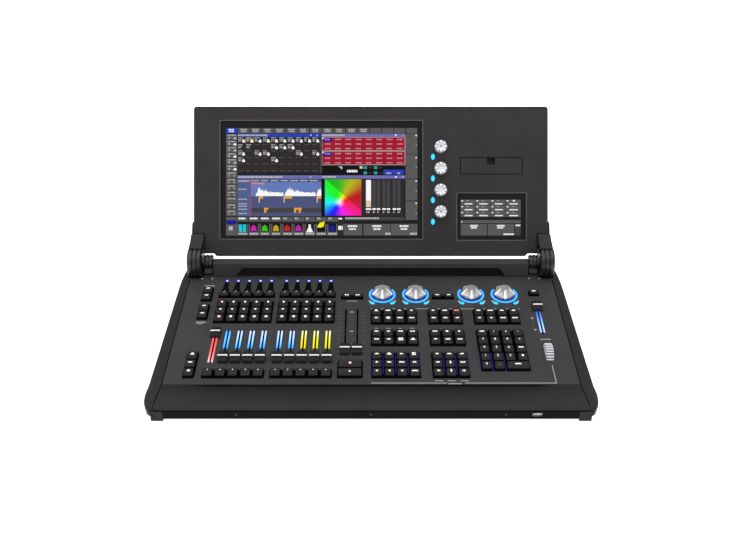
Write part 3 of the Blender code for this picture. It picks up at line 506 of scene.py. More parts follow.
def area_light(name, location, target, size, power):
    data = bpy.data.lights.new(name, "AREA")
    data.shape = "RECTANGLE"
    data.size, data.size_y = size
    data.energy = power
    item = place(name, data)
    item.location = location
    item.rotation_euler = (Vector(target) - Vector(location)).to_track_quat("-Z", "Y").to_euler()


def lights():
    world = bpy.data.worlds.new("studio")
    world.use_nodes = True
    background = world.node_tree.nodes["Background"].inputs
    background["Color"].default_value = (1, 1, 1, 1)
    background["Strength"].default_value = 0.75
    bpy.context.scene.world = world
    area_light("overhead", (0, -0.4, 3), (0, 0, 0), (5, 4), 95)
    area_light("left_soft", (-2.2, -1.4, 1.6), (0, 0, 0.1), (1.6, 1.2), 9)
    bpy.context.scene.view_settings.view_transform = "Standard"


# ---------------------------------------------------------------- carried-over nodes

# The finish of each node that stays as packed, and the width of its softened edges in mm; all other
# nodes get the keys' skirt finish, a near-black copy of the key plastic that paints shade.
DRESS = {
    "control_panel": ("panel", 0.25), "hump_cover": ("panel", 0.7),
    "rear_panel": ("pan_coating", 0.3), "base_pan": ("pan_coating", 0.35),
    "power_inlet": ("pan_coating", 0.5),
    "mainboard": ("board_green", 0.2), "power_supply": ("supply_sheet", 0.6),
    "front_usb_socket": ("steel", 0.25), "left_hinge_pin": ("steel", 0), "right_hinge_pin": ("steel", 0),
    "left_foot_rail": ("foot_rubber", 0.6), "right_foot_rail": ("foot_rubber", 0.6),
    "left_knuckle": ("casing", 1.6), "right_knuckle": ("casing", 1.6),
    "screen_bezel": ("screen_casing", 0.45), "screen_back": ("screen_casing", 0.8),
    "media_hatch": ("screen_casing", 0.3),
    "main_display": ("display_glass", 0.3), "side_display": ("display_glass", 0.3),
}


def dress_nodes():
    for name, node in NODES.items():
        finish, edge = DRESS.get(name, ("key_skirt_shade", 0))
        node.data.materials.clear()
        node.data.materials.append(PAINT[finish])
        if edge:
            node.modifiers.new("weld", "WELD").merge_threshold = 0.00001
            add_bevel(node, edge)


# ---------------------------------------------------------------- casing

NOSE_REACH = 61
NOSE_RADIUS = 8.5
NOSE_TOP = 27
NOSE_HEIGHT = 5.6
LIP_Z = 20.4


def palm_crown(y):
    return CREASE_Z + (NOSE_TOP - CREASE_Z) * (1 - (1 + y / (NOSE_REACH - NOSE_RADIUS)) ** 2)


def deck_top(y):
    return CREASE_Z + y * math.tan(SLOPE)


def nose_profile(start, end, steps, inset=0):
    """The rounded front edge as an ellipse, between two angles in degrees."""
    center = (NOSE_RADIUS - NOSE_REACH, NOSE_TOP - NOSE_HEIGHT)
    return arc(center, (NOSE_RADIUS - inset, NOSE_HEIGHT - inset), start, end, steps)


def palm_rest():
    """The moulded strip with a rounded nose and a shallow scoop before the control surface."""
    half = PLATE_HALF
    scoop_half = 245
    fade = 42
    reach = 40
    thick = 3
    stations = [half, scoop_half + fade] + [scoop_half + fade * (1 - k / 10) for k in range(1, 11)]
    stations += [180, 90]
    stations += [0] + [-x for x in reversed(stations)]
    sections = []
    for x in stations:
        depth = 3 * smooth_step((scoop_half + fade - abs(x)) / fade)
        outer = []
        for k in range(17):
            y = -reach * k / 16
            outer.append((y, palm_crown(y) - depth * (1 + y / reach) ** 1.5))
        outer += [(-44, palm_crown(-44)), (-48, palm_crown(-48))]
        count = len(outer)
        outer += nose_profile(90, 180, 12)
        outer += [(-NOSE_REACH, LIP_Z + 0.6), (-NOSE_REACH + 0.6, LIP_Z)]
        inner = [(-NOSE_REACH + thick, LIP_Z)]
        inner += nose_profile(180, 90, 6, thick)
        inner += [(y, z - thick) for y, z in reversed(outer[:count])]
        sections.append([(x, y - 0.3, z) for y, z in outer + inner])
    mesh = loft(bmesh.new(), sections)
    make("palm_rest_skin", mesh, "palm_casing", "root", BASE, smooth=40,
         replaces=("palm_rest",))


CHEEK_FRONT_HALF = 342
CHEEK_REAR_HALF = 338
BASE_REAR = 325
POCKET_RADIUS = 29.5


def cheek_half_width(y):
    half = CHEEK_FRONT_HALF + (CHEEK_REAR_HALF - CHEEK_FRONT_HALF) * max(y, 0) / 240
    front = max(-y - 14, 0) / (NOSE_REACH - 14)
    rear = max(y - 240, 0) / (BASE_REAR - 240)
    half -= 13 * (1 - math.sqrt(max(1 - front * front, 0)))
    half -= 16 * (1 - math.sqrt(max(1 - rear * rear, 0)))
    return half


def cheek(word, side):
    """The end casting, with soft upper edges and the pocket for the hinge drum."""
    inner = 322.15
    bottom = 5
    stations = list(reversed(nose_profile(90, 172, 12)))
    stations += [(y, palm_crown(y)) for y in (-48, -44, -38, -31, -24, -17, -10, -4)]
    rear = [0, 60, 120, 180, 230, 250, 262, 272, 282, 292, 300, 307, 313, 318, 322, 324.3]
    stations += [(y, deck_top(y)) for y in rear]
    sections = []
    for y, top in stations:
        outer = cheek_half_width(y)
        edge = min(4.5, 0.42 * (outer - inner), max(top - 19.8, 0.3))
        outline = [(inner, bottom), (inner, top - 0.5), (inner + 0.5, top)]
        outline += arc((outer - edge, top - edge), edge, 90, 0, 7)
        outline += [(outer, 19.6), (outer - 0.8, 18.6), (outer - 1.1, 11.4), (outer - 2.4, 9.8)]
        outline += [(outer - 8.2, 7.4), (outer - 9.2, bottom)]
        sections.append([(side * x, y, z) for x, z in outline])
    mesh = loft(bmesh.new(), sections)
    piece = make(word + "_cheek_casting", mesh, "casing", "root", BASE, smooth=40,
                 replaces=(word + "_cheek",))
    axis = (BASE.inverted() @ SCREEN.translation) / MM
    pocket = [(POCKET_RADIUS, side * x) for x in (300, 325.8)]
    cut(piece, word + "_drum_pocket", turned(bmesh.new(), pocket, 96, "X", axis))


def cut(piece, name, mesh):
    """Takes the shape away from the piece for good."""
    tool = place(name, to_data(name, mesh))
    tool.matrix_world = piece.matrix_world
    modifier = piece.modifiers.new(name, "BOOLEAN")
    modifier.operation = "DIFFERENCE"
    modifier.solver = "EXACT"
    modifier.object = tool
    bpy.context.view_layer.update()
    with bpy.context.temp_override(object=piece, active_object=piece, selected_objects=[piece]):
        bpy.ops.object.modifier_apply(modifier=modifier.name)
    bpy.data.objects.remove(tool)
    piece.data.set_sharp_from_angle(angle=math.radians(35))


# The front strip under the lip, its window for the data socket, and the feet at its ends
SEAM_X = 321
STRIP_Y = (-59.4, -57)
STRIP_Z = (4.2, 16.8)
SOCKET_X = (239, 255)
SOCKET_Z = (6, 13.6)
FOOT_X = (309, 327.5)
FOOT_Y = (-60.9, -56.4)
FOOT_Z = (0.4, 17.6)


def seams():
    """The dark joints between the end castings and the middle, and blocks painted as shadow under the lips.
    """
    lift = 0.12
    top = nose_profile(180, 90, 8, -0.1)
    top += [(y, palm_crown(y) + lift) for y in (-48, -44, -36, -28, -20, -12, -4)]
    top += [(y, deck_top(y) + lift) for y in (0, 262)]
    mesh = bmesh.new()
    for low, high in mirrored(SEAM_X, 322.7):
        prism_x(mesh, top + [(y, z - 0.5) for y, z in reversed(top)], low, high)
    make("side_seams", mesh, "dark_lining", "root", BASE, smooth=0)
    # Painted shadow: near-black blocks in the gap under the front lip and the cheeks' lips, and along the
    # front strip's foot.
    mesh = block(bmesh.new(), (-SEAM_X, SEAM_X), (-59.2, -57.2), (16.6, 21.6))
    for x in mirrored(SEAM_X, 328.6):
        block(mesh, x, (-61.1, -59), (18.6, 20.2))
    block(mesh, (-308, 308), (-59.7, -57.2), (4, 5))
    make("lip_gap_shadow", mesh, "dark_lining", "root", BASE, smooth=0)


def front_strip():
    """The strip under the lip, in four blocks round the data socket, its screws and the feet's fronts."""
    mesh = bmesh.new()
    for x, z in (((-SEAM_X, SOCKET_X[0]), STRIP_Z), ((SOCKET_X[1], SEAM_X), STRIP_Z),
                 (SOCKET_X, (SOCKET_Z[1], STRIP_Z[1])), (SOCKET_X, (STRIP_Z[0], SOCKET_Z[0]))):
        block(mesh, x, STRIP_Y, z)
    make("front_strip", mesh, "front_strip", "root", BASE, smooth=30)
    mesh = bmesh.new()
    for x in mirrored(*FOOT_X):
        block(mesh, x, FOOT_Y, FOOT_Z)
    make("foot_fronts", mesh, "casing", "root", BASE, smooth=0, bevel=0.8)
    mesh = bmesh.new()
    for x in (-200, 0, 200):
        disc_y(mesh, (x, -59.7, 11.6), 1.5, 0.6)
    make("front_screws", mesh, "screw_black", "root", BASE, smooth=35)


def hump_details():
    """A darker sheet inside the recess in the hump's front, painted shade, and the seam strip along its foot.
    """
    front = 276
    half = [(239.6, 0.25), (239.6, 1), (229.7, 14.9), (225.8, 16.8)]
    shape = [(-239.6, 0.25)] + half + [(-x, v) for x, v in reversed(half[1:])]
    sections = [[(x, front + 4 + 0.16 * v - inset, v) for x, v in shape] for inset in (0.35, 1.2)]
    make("recess_lining", loft(bmesh.new(), sections), "recess_lining", "root", DESK)
    mesh = bmesh.new()
    for x in mirrored(240.5, 279.5):
        block(mesh, x, (275.55, 275.95), (-1.5, 0.15))
    make("hump_seam", mesh, "dark_lining", "root", DESK)


DRUM_INNER = 300.2
DRUM_RADIUS = 27


def hinge_arm(word, side):
    """The moving hinge half: a grooved drum, its neck and the fairing along the housing's side."""
    radius = DRUM_RADIUS
    profile = [(4.3, DRUM_INNER), (24, DRUM_INNER), (26, DRUM_INNER + 0.6), (radius, DRUM_INNER + 2)]
    for groove in (307.2, 314.8):
        profile += [(radius, groove - 1.6), (radius - 0.6, groove - 0.9), (radius - 2.4, groove - 0.5)]
        profile += [(radius - 2.4, groove + 0.5), (radius - 0.6, groove + 0.9), (radius, groove + 1.6)]
    profile += [(radius, 321.6), (26.2, 323.2), (24.9, 324.2), (22, 324.6), (12, 324.6), (11, 323.9)]
    profile += [(7, 323.9)]
    mesh = turned(bmesh.new(), [(r, side * x) for r, x in profile], 64, "X")
    make(word + "_hinge_drum", mesh, "hinge_casing", "screen", SCREEN, smooth=38,
         replaces=(word + "_hinge_arm",))
    neck = arc((0, 0), radius + 1.6, -58, 36, 14)
    neck += [(36, 3), (49.7, -7.6), (49.7, -34), (26, -34)]
    mesh = prism_x(bmesh.new(), neck, side * DRUM_INNER, side * 322.6)
    make(word + "_hinge_neck", mesh, "screen_casing", "screen", SCREEN, smooth=30,
         bevel=1.6, segments=4)
    seam = arc((0, 0), radius + 1.5, -57, 35, 14) + arc((0, 0), radius - 0.4, 35, -57, 14)
    mesh = prism_x(bmesh.new(), seam, side * (DRUM_INNER + 0.8), side * 321.8)
    make(word + "_hinge_seam", mesh, "dark_lining", "screen", SCREEN, smooth=0)
    flange = [(9, 40), (13, 68), (18, 73), (32, 73), (33, 68), (33, 40)]
    mesh = prism_x(bmesh.new(), [(s, -y) for y, s in flange], side * 319, side * 322.3)
    make(word + "_hinge_fairing", mesh, "screen_casing", "screen", SCREEN, smooth=30,
         bevel=1.2, segments=4)


def knuckle(word, side):
    """The fixed hinge half: a ribbed barrel on a short foot."""
    axis = DESK.inverted() @ point_of("screen_tilt") / MM
    x0, x1 = 281.5, 298.5
    profile = [(4.3, x0), (10.4, x0), (11.8, x0 + 0.8), (12.6, x0 + 2.2), (12.8, x0 + 3.6), (12.2, x0 + 5.2)]
    profile += [(10.6, x0 + 5.9), (10.6, x0 + 6.6), (12.3, x0 + 7.4), (12.8, x0 + 8.8), (12.8, x0 + 10.6)]
    profile += [(12.2, x0 + 12.2), (10.8, x0 + 12.9), (10.8, x0 + 13.4), (12.2, x0 + 14), (12.6, x0 + 15.4)]
    profile += [(12, x1 - 0.4), (11.2, x1), (4.3, x1)]
    mesh = turned(bmesh.new(), [(r, side * x) for r, x in profile], 48, "X", (0, axis.y, axis.z))
    make(word + "_knuckle_barrel", mesh, "hinge_casing", "root", DESK, smooth=45,
         replaces=(word + "_knuckle",))
    foot = [(axis.y - 12.6, 0.35), (axis.y - 12.6, 4.5), (axis.y - 10.4, 8.6), (axis.y - 8.8, 12.4)]
    foot += [(axis.y + 8.8, 12.4), (axis.y + 12.6, 6), (axis.y + 12.6, 0.35)]
    mesh = prism_x(bmesh.new(), foot, side * (x0 + 0.2), side * (x1 - 0.2))
    make(word + "_knuckle_foot", mesh, "hinge_casing", "root", DESK, smooth=30,
         bevel=1.4, segments=3)


def foot_screws(word, side):
    """Two small bright screws at the foot of each hinge."""
    mesh = bmesh.new()
    for x in (282, 300):
        center = (side * x, 270.6, 0)
        turned(mesh, [(1.7, 0), (1.7, 0.4), (1.2, 0.9), (0.7, 0.95), (0.6, 0.4)], 20, "Z", center)
    make(word + "_hinge_screws", mesh, "steel", "root", DESK)


# ---------------------------------------------------------------- keys

KEY_PITCH = 19.7
ROW_PITCH = 19.6
KEY_SIZE = 17.2
KEY_TOP = 5.6
KEY_RAKE = 0.11
PLAYBACK_X = frange(-254.6, KEY_PITCH, 5) + frange(-149.2, KEY_PITCH, 5)
PAGE_X = -283.9
CROSS_X = (-42.2, -22.5)
CROSS_MIDDLE = sum(CROSS_X) / 2
GO_X = -33
LEFT_XS = frange(9.1, KEY_PITCH, 4)
MID_XS = frange(105, KEY_PITCH, 3)
RIGHT_XS = frange(181.7, KEY_PITCH, 4)
MASTER_X = 283
FLASH_U = 23.1
SELECT_U = 221.6
SELECT_DEPTH = 13
LOWER_ROWS = frange(FLASH_U, ROW_PITCH, 3)
BANK_ROWS = LOWER_ROWS + frange(97.8, ROW_PITCH, 2) + frange(152, ROW_PITCH, 2)


def cap(mesh, x, u, width, depth):
    """One key cap: upright skirt, tapering shoulders and a dished top that leans to the operator."""
    top = KEY_TOP
    levels = [(0, -2.5, 0), (0, top - 4.6, 0.3), (0.3, top - 2.6, 0.8), (1.4, top - 0.7, 1)]
    levels += [(1.9, top - 0.2, 1), (2.5, top, 1), (3.3, top - 0.12, 1), (5, top - 0.42, 1)]
    sections = []
    for inset, height, lean in levels:
        half_x = width / 2 - inset
        half_u = max(depth / 2 - inset * 0.85, 0.6)
        radius = min(1.4 + 0.5 * inset, 0.9 * min(half_x, half_u))
        outline = rounded(-half_x, half_x, -half_u, half_u, radius)
        sections.append([(x + a, u + b, height + lean * KEY_RAKE * b) for a, b in outline])
    # The skirt and shoulders take the near-black first finish, painted shade of the window round the key; the
    # top takes the lighter one.
    loft(mesh, sections, slot=[0, 0, 0, 1, 1, 1, 1])


BLOCK_GAP = 0.27
GLYPH_SIZE = 6.2
LEGEND_SCALE = 0.76
LEGEND_SHIFT = 2.4


def legend_shapes(code):
    """Outlines of a legend about its middle: a letter for its shape and a number for its width in mm."""
    shape = code[0]
    half = float(code[1:] or 6) / 2 * LEGEND_SCALE
    if shape == "b":
        return text_line(half, 0)
    if shape == "k":
        return text_line(half, 1.6) + text_line(half, -1.6)
    outlines = {
        "t": [[(-half, -1.9), (half, -1.9), (half * 0.35, 2), (-half * 0.35, 2)]],
        "o": [ellipse(0, 0, half, half * 0.72)],
        "d": [ellipse(0, 0, half, half * 1.15)],
        "r": [rounded(-half, half, -half * 0.85, half * 0.85, half * 0.45)],
        "u": [[(-half, -1.2), (half, -1.2), (0, 3.6)], rectangle(-0.8, 0.8, -3.2, -1.2)],
        "n": [[(-half, 1.2), (0, -3.6), (half, 1.2)], rectangle(-0.8, 0.8, 1.2, 3.2)],
        "l": [[(-half, 0), (0, -2.2), (0, 2.2)], rectangle(0, half, -0.8, 0.8)],
        "g": [[(half, 0), (0, 2.2), (0, -2.2)], rectangle(-half, 0, -0.8, 0.8)],
        "p": [[(-half * 0.8, -half), (half, 0), (-half * 0.8, half)]],
        "s": [[(-1.2, -1.5), (-0.2, -1.7), (1.3, 1.5), (0.4, 1.7)]],
        "f": [[(k * half, -1.9), (k * half + half * 0.95, 0), (k * half, 1.9)] for k in (-0.95, 0.05)],
        "q": [[(k * half, 1.9), (k * half - half * 0.95, 0), (k * half, -1.9)] for k in (0.95, -0.05)],
    }
    return outlines[shape]


def text_line(half, middle):
    """A printed word at a distance: a row of small blocks with narrow gaps."""
    height = 2.3
    count = max(2, round(half * 2 / height))
    step = 2 * half / count
    outlines = []
    for i in range(count):
        x0 = -half + step * i
        drop = 0 if (i * 7 + round(half * 3)) % 3 else 0.5
        outlines.append(rectangle(x0, x0 + step - BLOCK_GAP, middle - height / 2, middle + height / 2 - drop))
    return outlines


def glyph_data(text):
    """Outlines of a digit or sign as flat mesh data about its middle."""
    curve = bpy.data.curves.new("glyph", "FONT")
    curve.body = text
    curve.size = GLYPH_SIZE
    curve.align_x = "CENTER"
    curve.align_y = "CENTER"
    item = place("glyph", curve)
    data = bpy.data.meshes.new_from_object(item.evaluated_get(bpy.context.evaluated_depsgraph_get()))
    bpy.data.objects.remove(item)
    bpy.data.curves.remove(curve)
    return data


def add_glyph(mesh, text, x, u, top):
    """A digit or sign as a thin raised plate."""
    data = glyph_data(text)
    part = bmesh.new()
    part.from_mesh(data)
    lift = bmesh.ops.extrude_face_region(part, geom=part.faces[:], use_keep_orig=True)
    for vert in part.verts:
        vert.co.z = top - 0.9
    for vert in [item for item in lift["geom"] if isinstance(item, bmesh.types.BMVert)]:
        vert.co.z = top + 0.06
    for vert in part.verts:
        vert.co.z += KEY_RAKE * vert.co.y
        vert.co.x += x
        vert.co.y += u
    part.to_mesh(data)
    part.free()
    mesh.from_mesh(data)
    bpy.data.meshes.remove(data)


def legend_plate(mesh, outline, x, u, top):
    """An inlaid legend that follows the lean of its key's top."""
    loft(mesh, [[(x + a, u + b, h + KEY_RAKE * b) for a, b in outline] for h in (top - 1, top + 0.06)])


def key_bank(name, xs, rows, codes, size=(KEY_SIZE, KEY_SIZE), shift=LEGEND_SHIFT, wide=None):
    """A bank of separate caps on one body, with its legends; codes run row by row from the front.

    A code may start with * for pink or ! for red ink, and # stands before a glyph. The key at wide, a row
    and a column, also takes its right neighbour's place.
    """
    caps = bmesh.new()
    inks = {}
    for j, u in enumerate(rows):
        words = codes[j].split()
        for i, x in enumerate(xs):
            if wide and (j, i - 1) == wide:
                continue
            extra = KEY_PITCH if (j, i) == wide else 0
            middle = x + extra / 2
            cap(caps, middle, u, size[0] + extra, size[1])
            code = words[min(i, len(words) - 1)]
            ink = {"*": "legend_pink", "!": "legend_red"}.get(code[0], "legend")
            code = code.lstrip("*!")
            if ink not in inks:
                inks[ink] = bmesh.new()
            legend_u = u + shift
            level = KEY_TOP - 0.25 + KEY_RAKE * shift
            if code[0] == "#":
                add_glyph(inks[ink], code[1:], middle, legend_u, level)
                continue
            for outline in legend_shapes(code):
                legend_plate(inks[ink], outline, middle, legend_u, level)
    edge = KEY_PITCH / 2 - 0.6
    # A near-black plate under the caps in the skirt finish: painted shade seen through the gaps between keys.
    slab(caps, rectangle(min(xs) - edge, max(xs) + edge, min(rows) - edge, max(rows) + edge), -3.6, -2.6)
    make(name + "_caps", caps, ("key_skirt_shade", "key_top"), name, DESK, smooth=30,
         replaces=(name,))
    for ink in sorted(inks):
        finish = "legend_white" if ink == "legend" else ink
        make(f"{name}_{ink}", inks[ink], finish, name, DESK, smooth=0)


def keys():
    key_bank("page_keys", [PAGE_X], [164.8, 184.5, 213.5, 233], ["b8", "b8", "b8", "b8"])
    key_bank("nav_keys", [PAGE_X], LOWER_ROWS, ["o6.5", "b9", "t9"])
    key_bank("select_keys", PLAYBACK_X, [SELECT_U], ["s"], (KEY_SIZE, SELECT_DEPTH), 4)
    rows = ["*r5.8 " + "r5.8 " * 9, "o5 " * 10, "*d4.4 " + "d4.4 " * 9]
    key_bank("playback_keys", PLAYBACK_X, frange(155.5, ROW_PITCH, 3), rows)
    key_bank("flash_keys", PLAYBACK_X, [FLASH_U], ["s"], shift=5.2)
    key_bank("pause_key", [GO_X], [42.8], ["*r5"], (38.6, KEY_SIZE), 1)
    key_bank("go_key", [GO_X], [FLASH_U], ["p5"], (38.6, KEY_SIZE), 1.5)
    key_bank("skip_keys", list(CROSS_X), [216], ["q10 f10"], (KEY_SIZE, 10), 0.6)
    key_bank("encoder_page_keys", [114.7, 134.4], [216], ["b9 b8"], (KEY_SIZE, 10), 1.2)
    key_bank("master_key", [MASTER_X], [226], ["b9"], (KEY_SIZE, 12), 1.6)
    left = ["o5 o5 o5 b13", "o5.4 b8.5 b11 b8", "b8 t10 b7 k8.5", "b10 b8 k10 t10", "b8.5 b6.5 b10 b10",
            "b6.5 o9 b11.5 b11", "t8 b10.5 b7 b5.5"]
    key_bank("left_function_keys", LEFT_XS, BANK_ROWS, left)
    mid = ["l6.5 n4.5 g6.5", "b8 u4.5 b10", "b6.5 b9 b8", "b6.5 b10.5 b10", "b10 o6 o5", "b9 b9 b8",
           "b6 b10.5 !b10"]
    key_bank("mid_function_keys", MID_XS, BANK_ROWS, mid)
    key_bank("right_function_keys", RIGHT_XS, BANK_ROWS[5:], ["b6 b5.5 b11.5 b11.5", "b8.5 b12 b8.5 b8"])
    pad = ["#0 #. b13.5", "#1 #2 #3 d4.6", "#4 #5 #6 b10", "#7 #8 #9 #+", "b10.5 #/ #x #-"]
    key_bank("number_keys", RIGHT_XS, frange(39, ROW_PITCH, 5), pad, wide=(0, 2))


# ---------------------------------------------------------------- faders

FADER_CAP = 7.8


def fader_cap(name, u):
    """A cap with a raised back, a white line along its ridge and a finger dip before it."""
    x = middle_of(name)[0]
    profile = [(-10, 1), (-10, 3), (-8.8, 5), (-7.8, 6), (-6.6, 6.4), (-5.2, 6.2), (-4, 6.8)]
    profile += [(-3.1, 8.4), (-2.5, 9.7), (-2.1, 10), (-0.1, 10), (0.6, 9.7), (3.4, 9.4), (6.6, 9)]
    profile += [(9.2, 8.4), (10, 7.4), (10, 1)]
    ends = ((-FADER_CAP, 0.5), (-FADER_CAP + 0.5, 0), (FADER_CAP - 0.5, 0), (FADER_CAP, 0.5))
    mesh = loft(bmesh.new(), [[(x + a, u + b, max(c - inset, 1)) for b, c in profile] for a, inset in ends])
    block(mesh, (x - 0.7, x + 0.7), (u - 3.5, u + 3.5), (-9, 1.2))
    block(mesh, (x - 4, x + 4), (u - 5, u + 5), (-14, -9))
    make(name + "_cap", mesh, "fader_cap", name, DESK, smooth=28, replaces=(name,))
    outline = [(u + a, b) for a, b in ((-3, 8.4), (-2.5, 9.75), (-2.1, 10.08), (0, 10.08), (0.4, 9.2))]
    mesh = prism_x(bmesh.new(), outline, x - FADER_CAP - 0.04, x + FADER_CAP + 0.04)
    make(name + "_line", mesh, "cap_line", name, DESK, smooth=0)


def light_strip(name, x, u0, u1, bright, deep):
    """Two lit lines beside a fader's slot, on a darker glowing plate that paints their halo of spilled light.
    """
    # The second entry is a glowing plate wider than the lines: painted halo round them.
    for suffix, finish, near, far, grow, radius, low, high in (
            ("_light", bright, 1.5, 4, 0, 1.2, -1, 0.35),
            ("_painted_halo", deep, 0.95, 4.9, 0.8, 1, -1.2, 0.12)):
        mesh = bmesh.new()
        for left, right in mirrored(near, far):
            slab(mesh, rounded(x + left, x + right, u0 - grow, u1 + grow, radius), low, high)
        make(name + suffix, mesh, finish, "root", DESK, smooth=0)


def fader_lights():
    """The lit plastics beside the faders, and the darker glowing plates behind them that paint their halo."""
    sky = (0.02, 0.33, 0.88)
    ramps = {
        "red": ([(0, (1, 0.86, 0.84)), (0.16, (0.95, 0.42, 0.40)), (0.4, (0.84, 0.11, 0.11)),
                 (1, (0.74, 0.05, 0.05))], 50, 118, 1),
        "azure": ([(0, (0.02, 0.32, 0.85)), (0.5, (0.16, 0.62, 1)), (1, (0.06, 0.42, 0.95))],
                  83, 127, 1.3),
        "pale": ([(0, sky), (0.45, (0.34, 0.70, 1)), (1, (0.74, 0.78, 1))], 83, 127, 1.3),
        "yellow": ([(0, (0.68, 0.62, 0.01)), (0.5, (0.86, 0.80, 0.02)), (1, (1, 0.98, 0.62))],
                   83, 127, 1.3),
        "master": ([(0, (0.62, 0.68, 1)), (0.35, (0.40, 0.75, 1)), (0.75, (0.05, 0.25, 0.85)),
                    (1, (0.01, 0.05, 0.55))], 122, 180, 1),
    }
    for name, (stops, start, end, strength) in ramps.items():
        lit_ramp("strip_" + name, stops, start, end, strength)
    # Painted halo: dim glowing colours for the plates round the strips, standing in for spilled light.
    lit("strip_deep_red", (0.35, 0, 0), 0.8)
    lit("strip_deep_blue", (0.001, 0.03, 0.22), 0.8)
    lit("strip_deep_yellow", (0.10, 0.09, 0), 0.8)


def faders():
    fader_lights()
    looks = [("red", "red"), ("azure", "blue")] + [("pale", "blue")] * 5 + [("yellow", "yellow")] * 3
    for number, (x, (bright, deep)) in enumerate(zip(PLAYBACK_X, looks), start=1):
        fader_cap(f"fader_{number}", 118 if number == 1 else 58)
        start = 50 if number == 1 else 83
        light_strip(f"fader_{number}", x, start, 126.6, "strip_" + bright, "strip_deep_" + deep)
    for name in ("crossfader_left", "crossfader_right"):
        fader_cap(name, 77.4)
    fader_cap("master_fader", 186.6)
    light_strip("master_fader", MASTER_X, 122, 196, "strip_master", "strip_deep_blue")


# ---------------------------------------------------------------- knobs and wheel

KNOB_LOBES = 5
RING_START = 142
RING_END = 398


def encoder(number):
    """A five-lobed conical knob with a ridge towards the operator, a lit ring and two lit ovals."""
    name = f"encoder_{number}"
    x = middle_of(name)[0]
    profile = [(3, -12), (3, 1.6), (16.6, 1.6), (17.4, 2.4), (18.3, 3.8), (18.9, 5.2), (19, 6),
               (18.5, 6.7), (17.2, 7.7), (15.4, 9.2), (13.6, 10.8), (11.8, 12.3), (10.2, 13.8), (9.1, 14.9),
               (8.6, 15.3), (8, 15.5), (6.8, 15.5)]
    depths = [0, 0, 0.6, 1.4, 2.3, 3.1, 3.5, 3.9, 4.3, 4.4, 4, 3.2, 2, 0.9, 0.4, 0.1, 0]

    def reach(row, radius, angle):
        phase = KNOB_LOBES * (angle + math.pi / 2)
        valley = (0.5 - 0.5 * math.cos(phase)) ** 0.55
        return radius - depths[row] * valley

    mesh = turned(bmesh.new(), profile, 120, "Z", (x, ENCODER_U, 0), reach)
    # Painted highlight: the lobes' ridge faces above the base take a much brighter copy of the silver.
    for face in mesh.faces:
        middle = face.calc_center_median()
        phase = KNOB_LOBES * (math.atan2(middle.y - ENCODER_U, middle.x - x) + math.pi / 2)
        if math.cos(phase) > 0.72 and middle.z > 3:
            face.material_index = 1
    make(name + "_knob", mesh, ("knob_silver", "knob_ridge_highlight"), name, DESK, smooth=50,
         replaces=(name,))
    top = [(7.9, 15.1), (7.9, 15.65), (7.4, 15.85), (3, 15.8)]
    mesh = turned(bmesh.new(), top, 48, "Z", (x, ENCODER_U, 0))
    make(name + "_top", mesh, "knob_top", name, DESK, smooth=50)
    ring = [(19.7, -0.3), (19.7, 0.6), (20.3, 1.3), (21.5, 1.6), (22.7, 1.3), (23.3, 0.6), (23.3, -0.3)]
    make_ring(name + "_ring", ring, x, "ring_cyan")
    inner = [(17.6, -0.3), (17.6, 0.35), (19.8, 0.45), (19.8, -0.3)]
    make_ring(name + "_ring_inner", inner, x, "ring_deep")
    ovals = bmesh.new()
    marks = bmesh.new()
    for side in (-1, 1):
        center = (x + side * 17.3, 200)
        slab(ovals, turn_outline(ellipse(0, 0, 4.5, 3, 20), side * 28, center), -0.5, 0.6)
        center = (x + side * 21.8, 205.2)
        slab(marks, turn_outline(rounded(-1.5, 1.5, -1.3, 1.3, 0.5), side * 20, center), -0.3, 0.12)
    make(name + "_ovals", ovals, "oval_cyan", "root", DESK, smooth=40, bevel=0.25)
    make(name + "_marks", marks, "ink_white", "root", DESK, smooth=0)


def turn_outline(outline, angle, center):
    c = math.cos(math.radians(angle))
    s = math.sin(math.radians(angle))
    return [(center[0] + a * c - b * s, center[1] + a * s + b * c) for a, b in outline]


def make_ring(name, profile, x, finish):
    """A ring of the given cross-section round an encoder, open towards the rear."""
    mesh = bmesh.new()
    steps = 80
    sections = []
    for i in range(steps + 1):
        angle = math.radians(RING_START + (RING_END - RING_START) * i / steps)
        sections.append([(x + r * math.cos(angle), ENCODER_U + r * math.sin(angle), v) for r, v in profile])
    loft(mesh, sections)
    make(name, mesh, finish, "root", DESK, smooth=50)


def intensity_wheel():
    """A thumb wheel with moulded ribs across its rim, the valleys between them painted darker as shade."""
    center = DESK.inverted() @ point_of("intensity_wheel_turn") / MM
    radius = 21
    half = 6
    ribs = 28

    def reach(row, r, angle):
        wave = 0.5 + 0.5 * math.cos(ribs * angle)
        return r - (1.8 * (1 - wave ** 0.6) if 2 <= row <= 7 else 0)

    side = [(2, 9), (2, half), (radius - 1.6, half), (radius - 0.5, half - 0.5), (radius, half - 1.2)]
    profile = [(r, -x) for r, x in side] + side[::-1]
    mesh = turned(bmesh.new(), profile, ribs * 8, "X", center, reach)
    # Painted shade: the valley faces between the ribs take a darker copy of the grey.
    for face in mesh.faces:
        middle = face.calc_center_median() - center
        if math.cos(ribs * math.atan2(middle.z, middle.y)) < -0.1 and abs(middle.x) < half:
            face.material_index = 1
    make("wheel_rim", mesh, ("wheel_grey", "wheel_valley_shade"), "intensity_wheel", DESK,
         smooth=45, replaces=("intensity_wheel",))


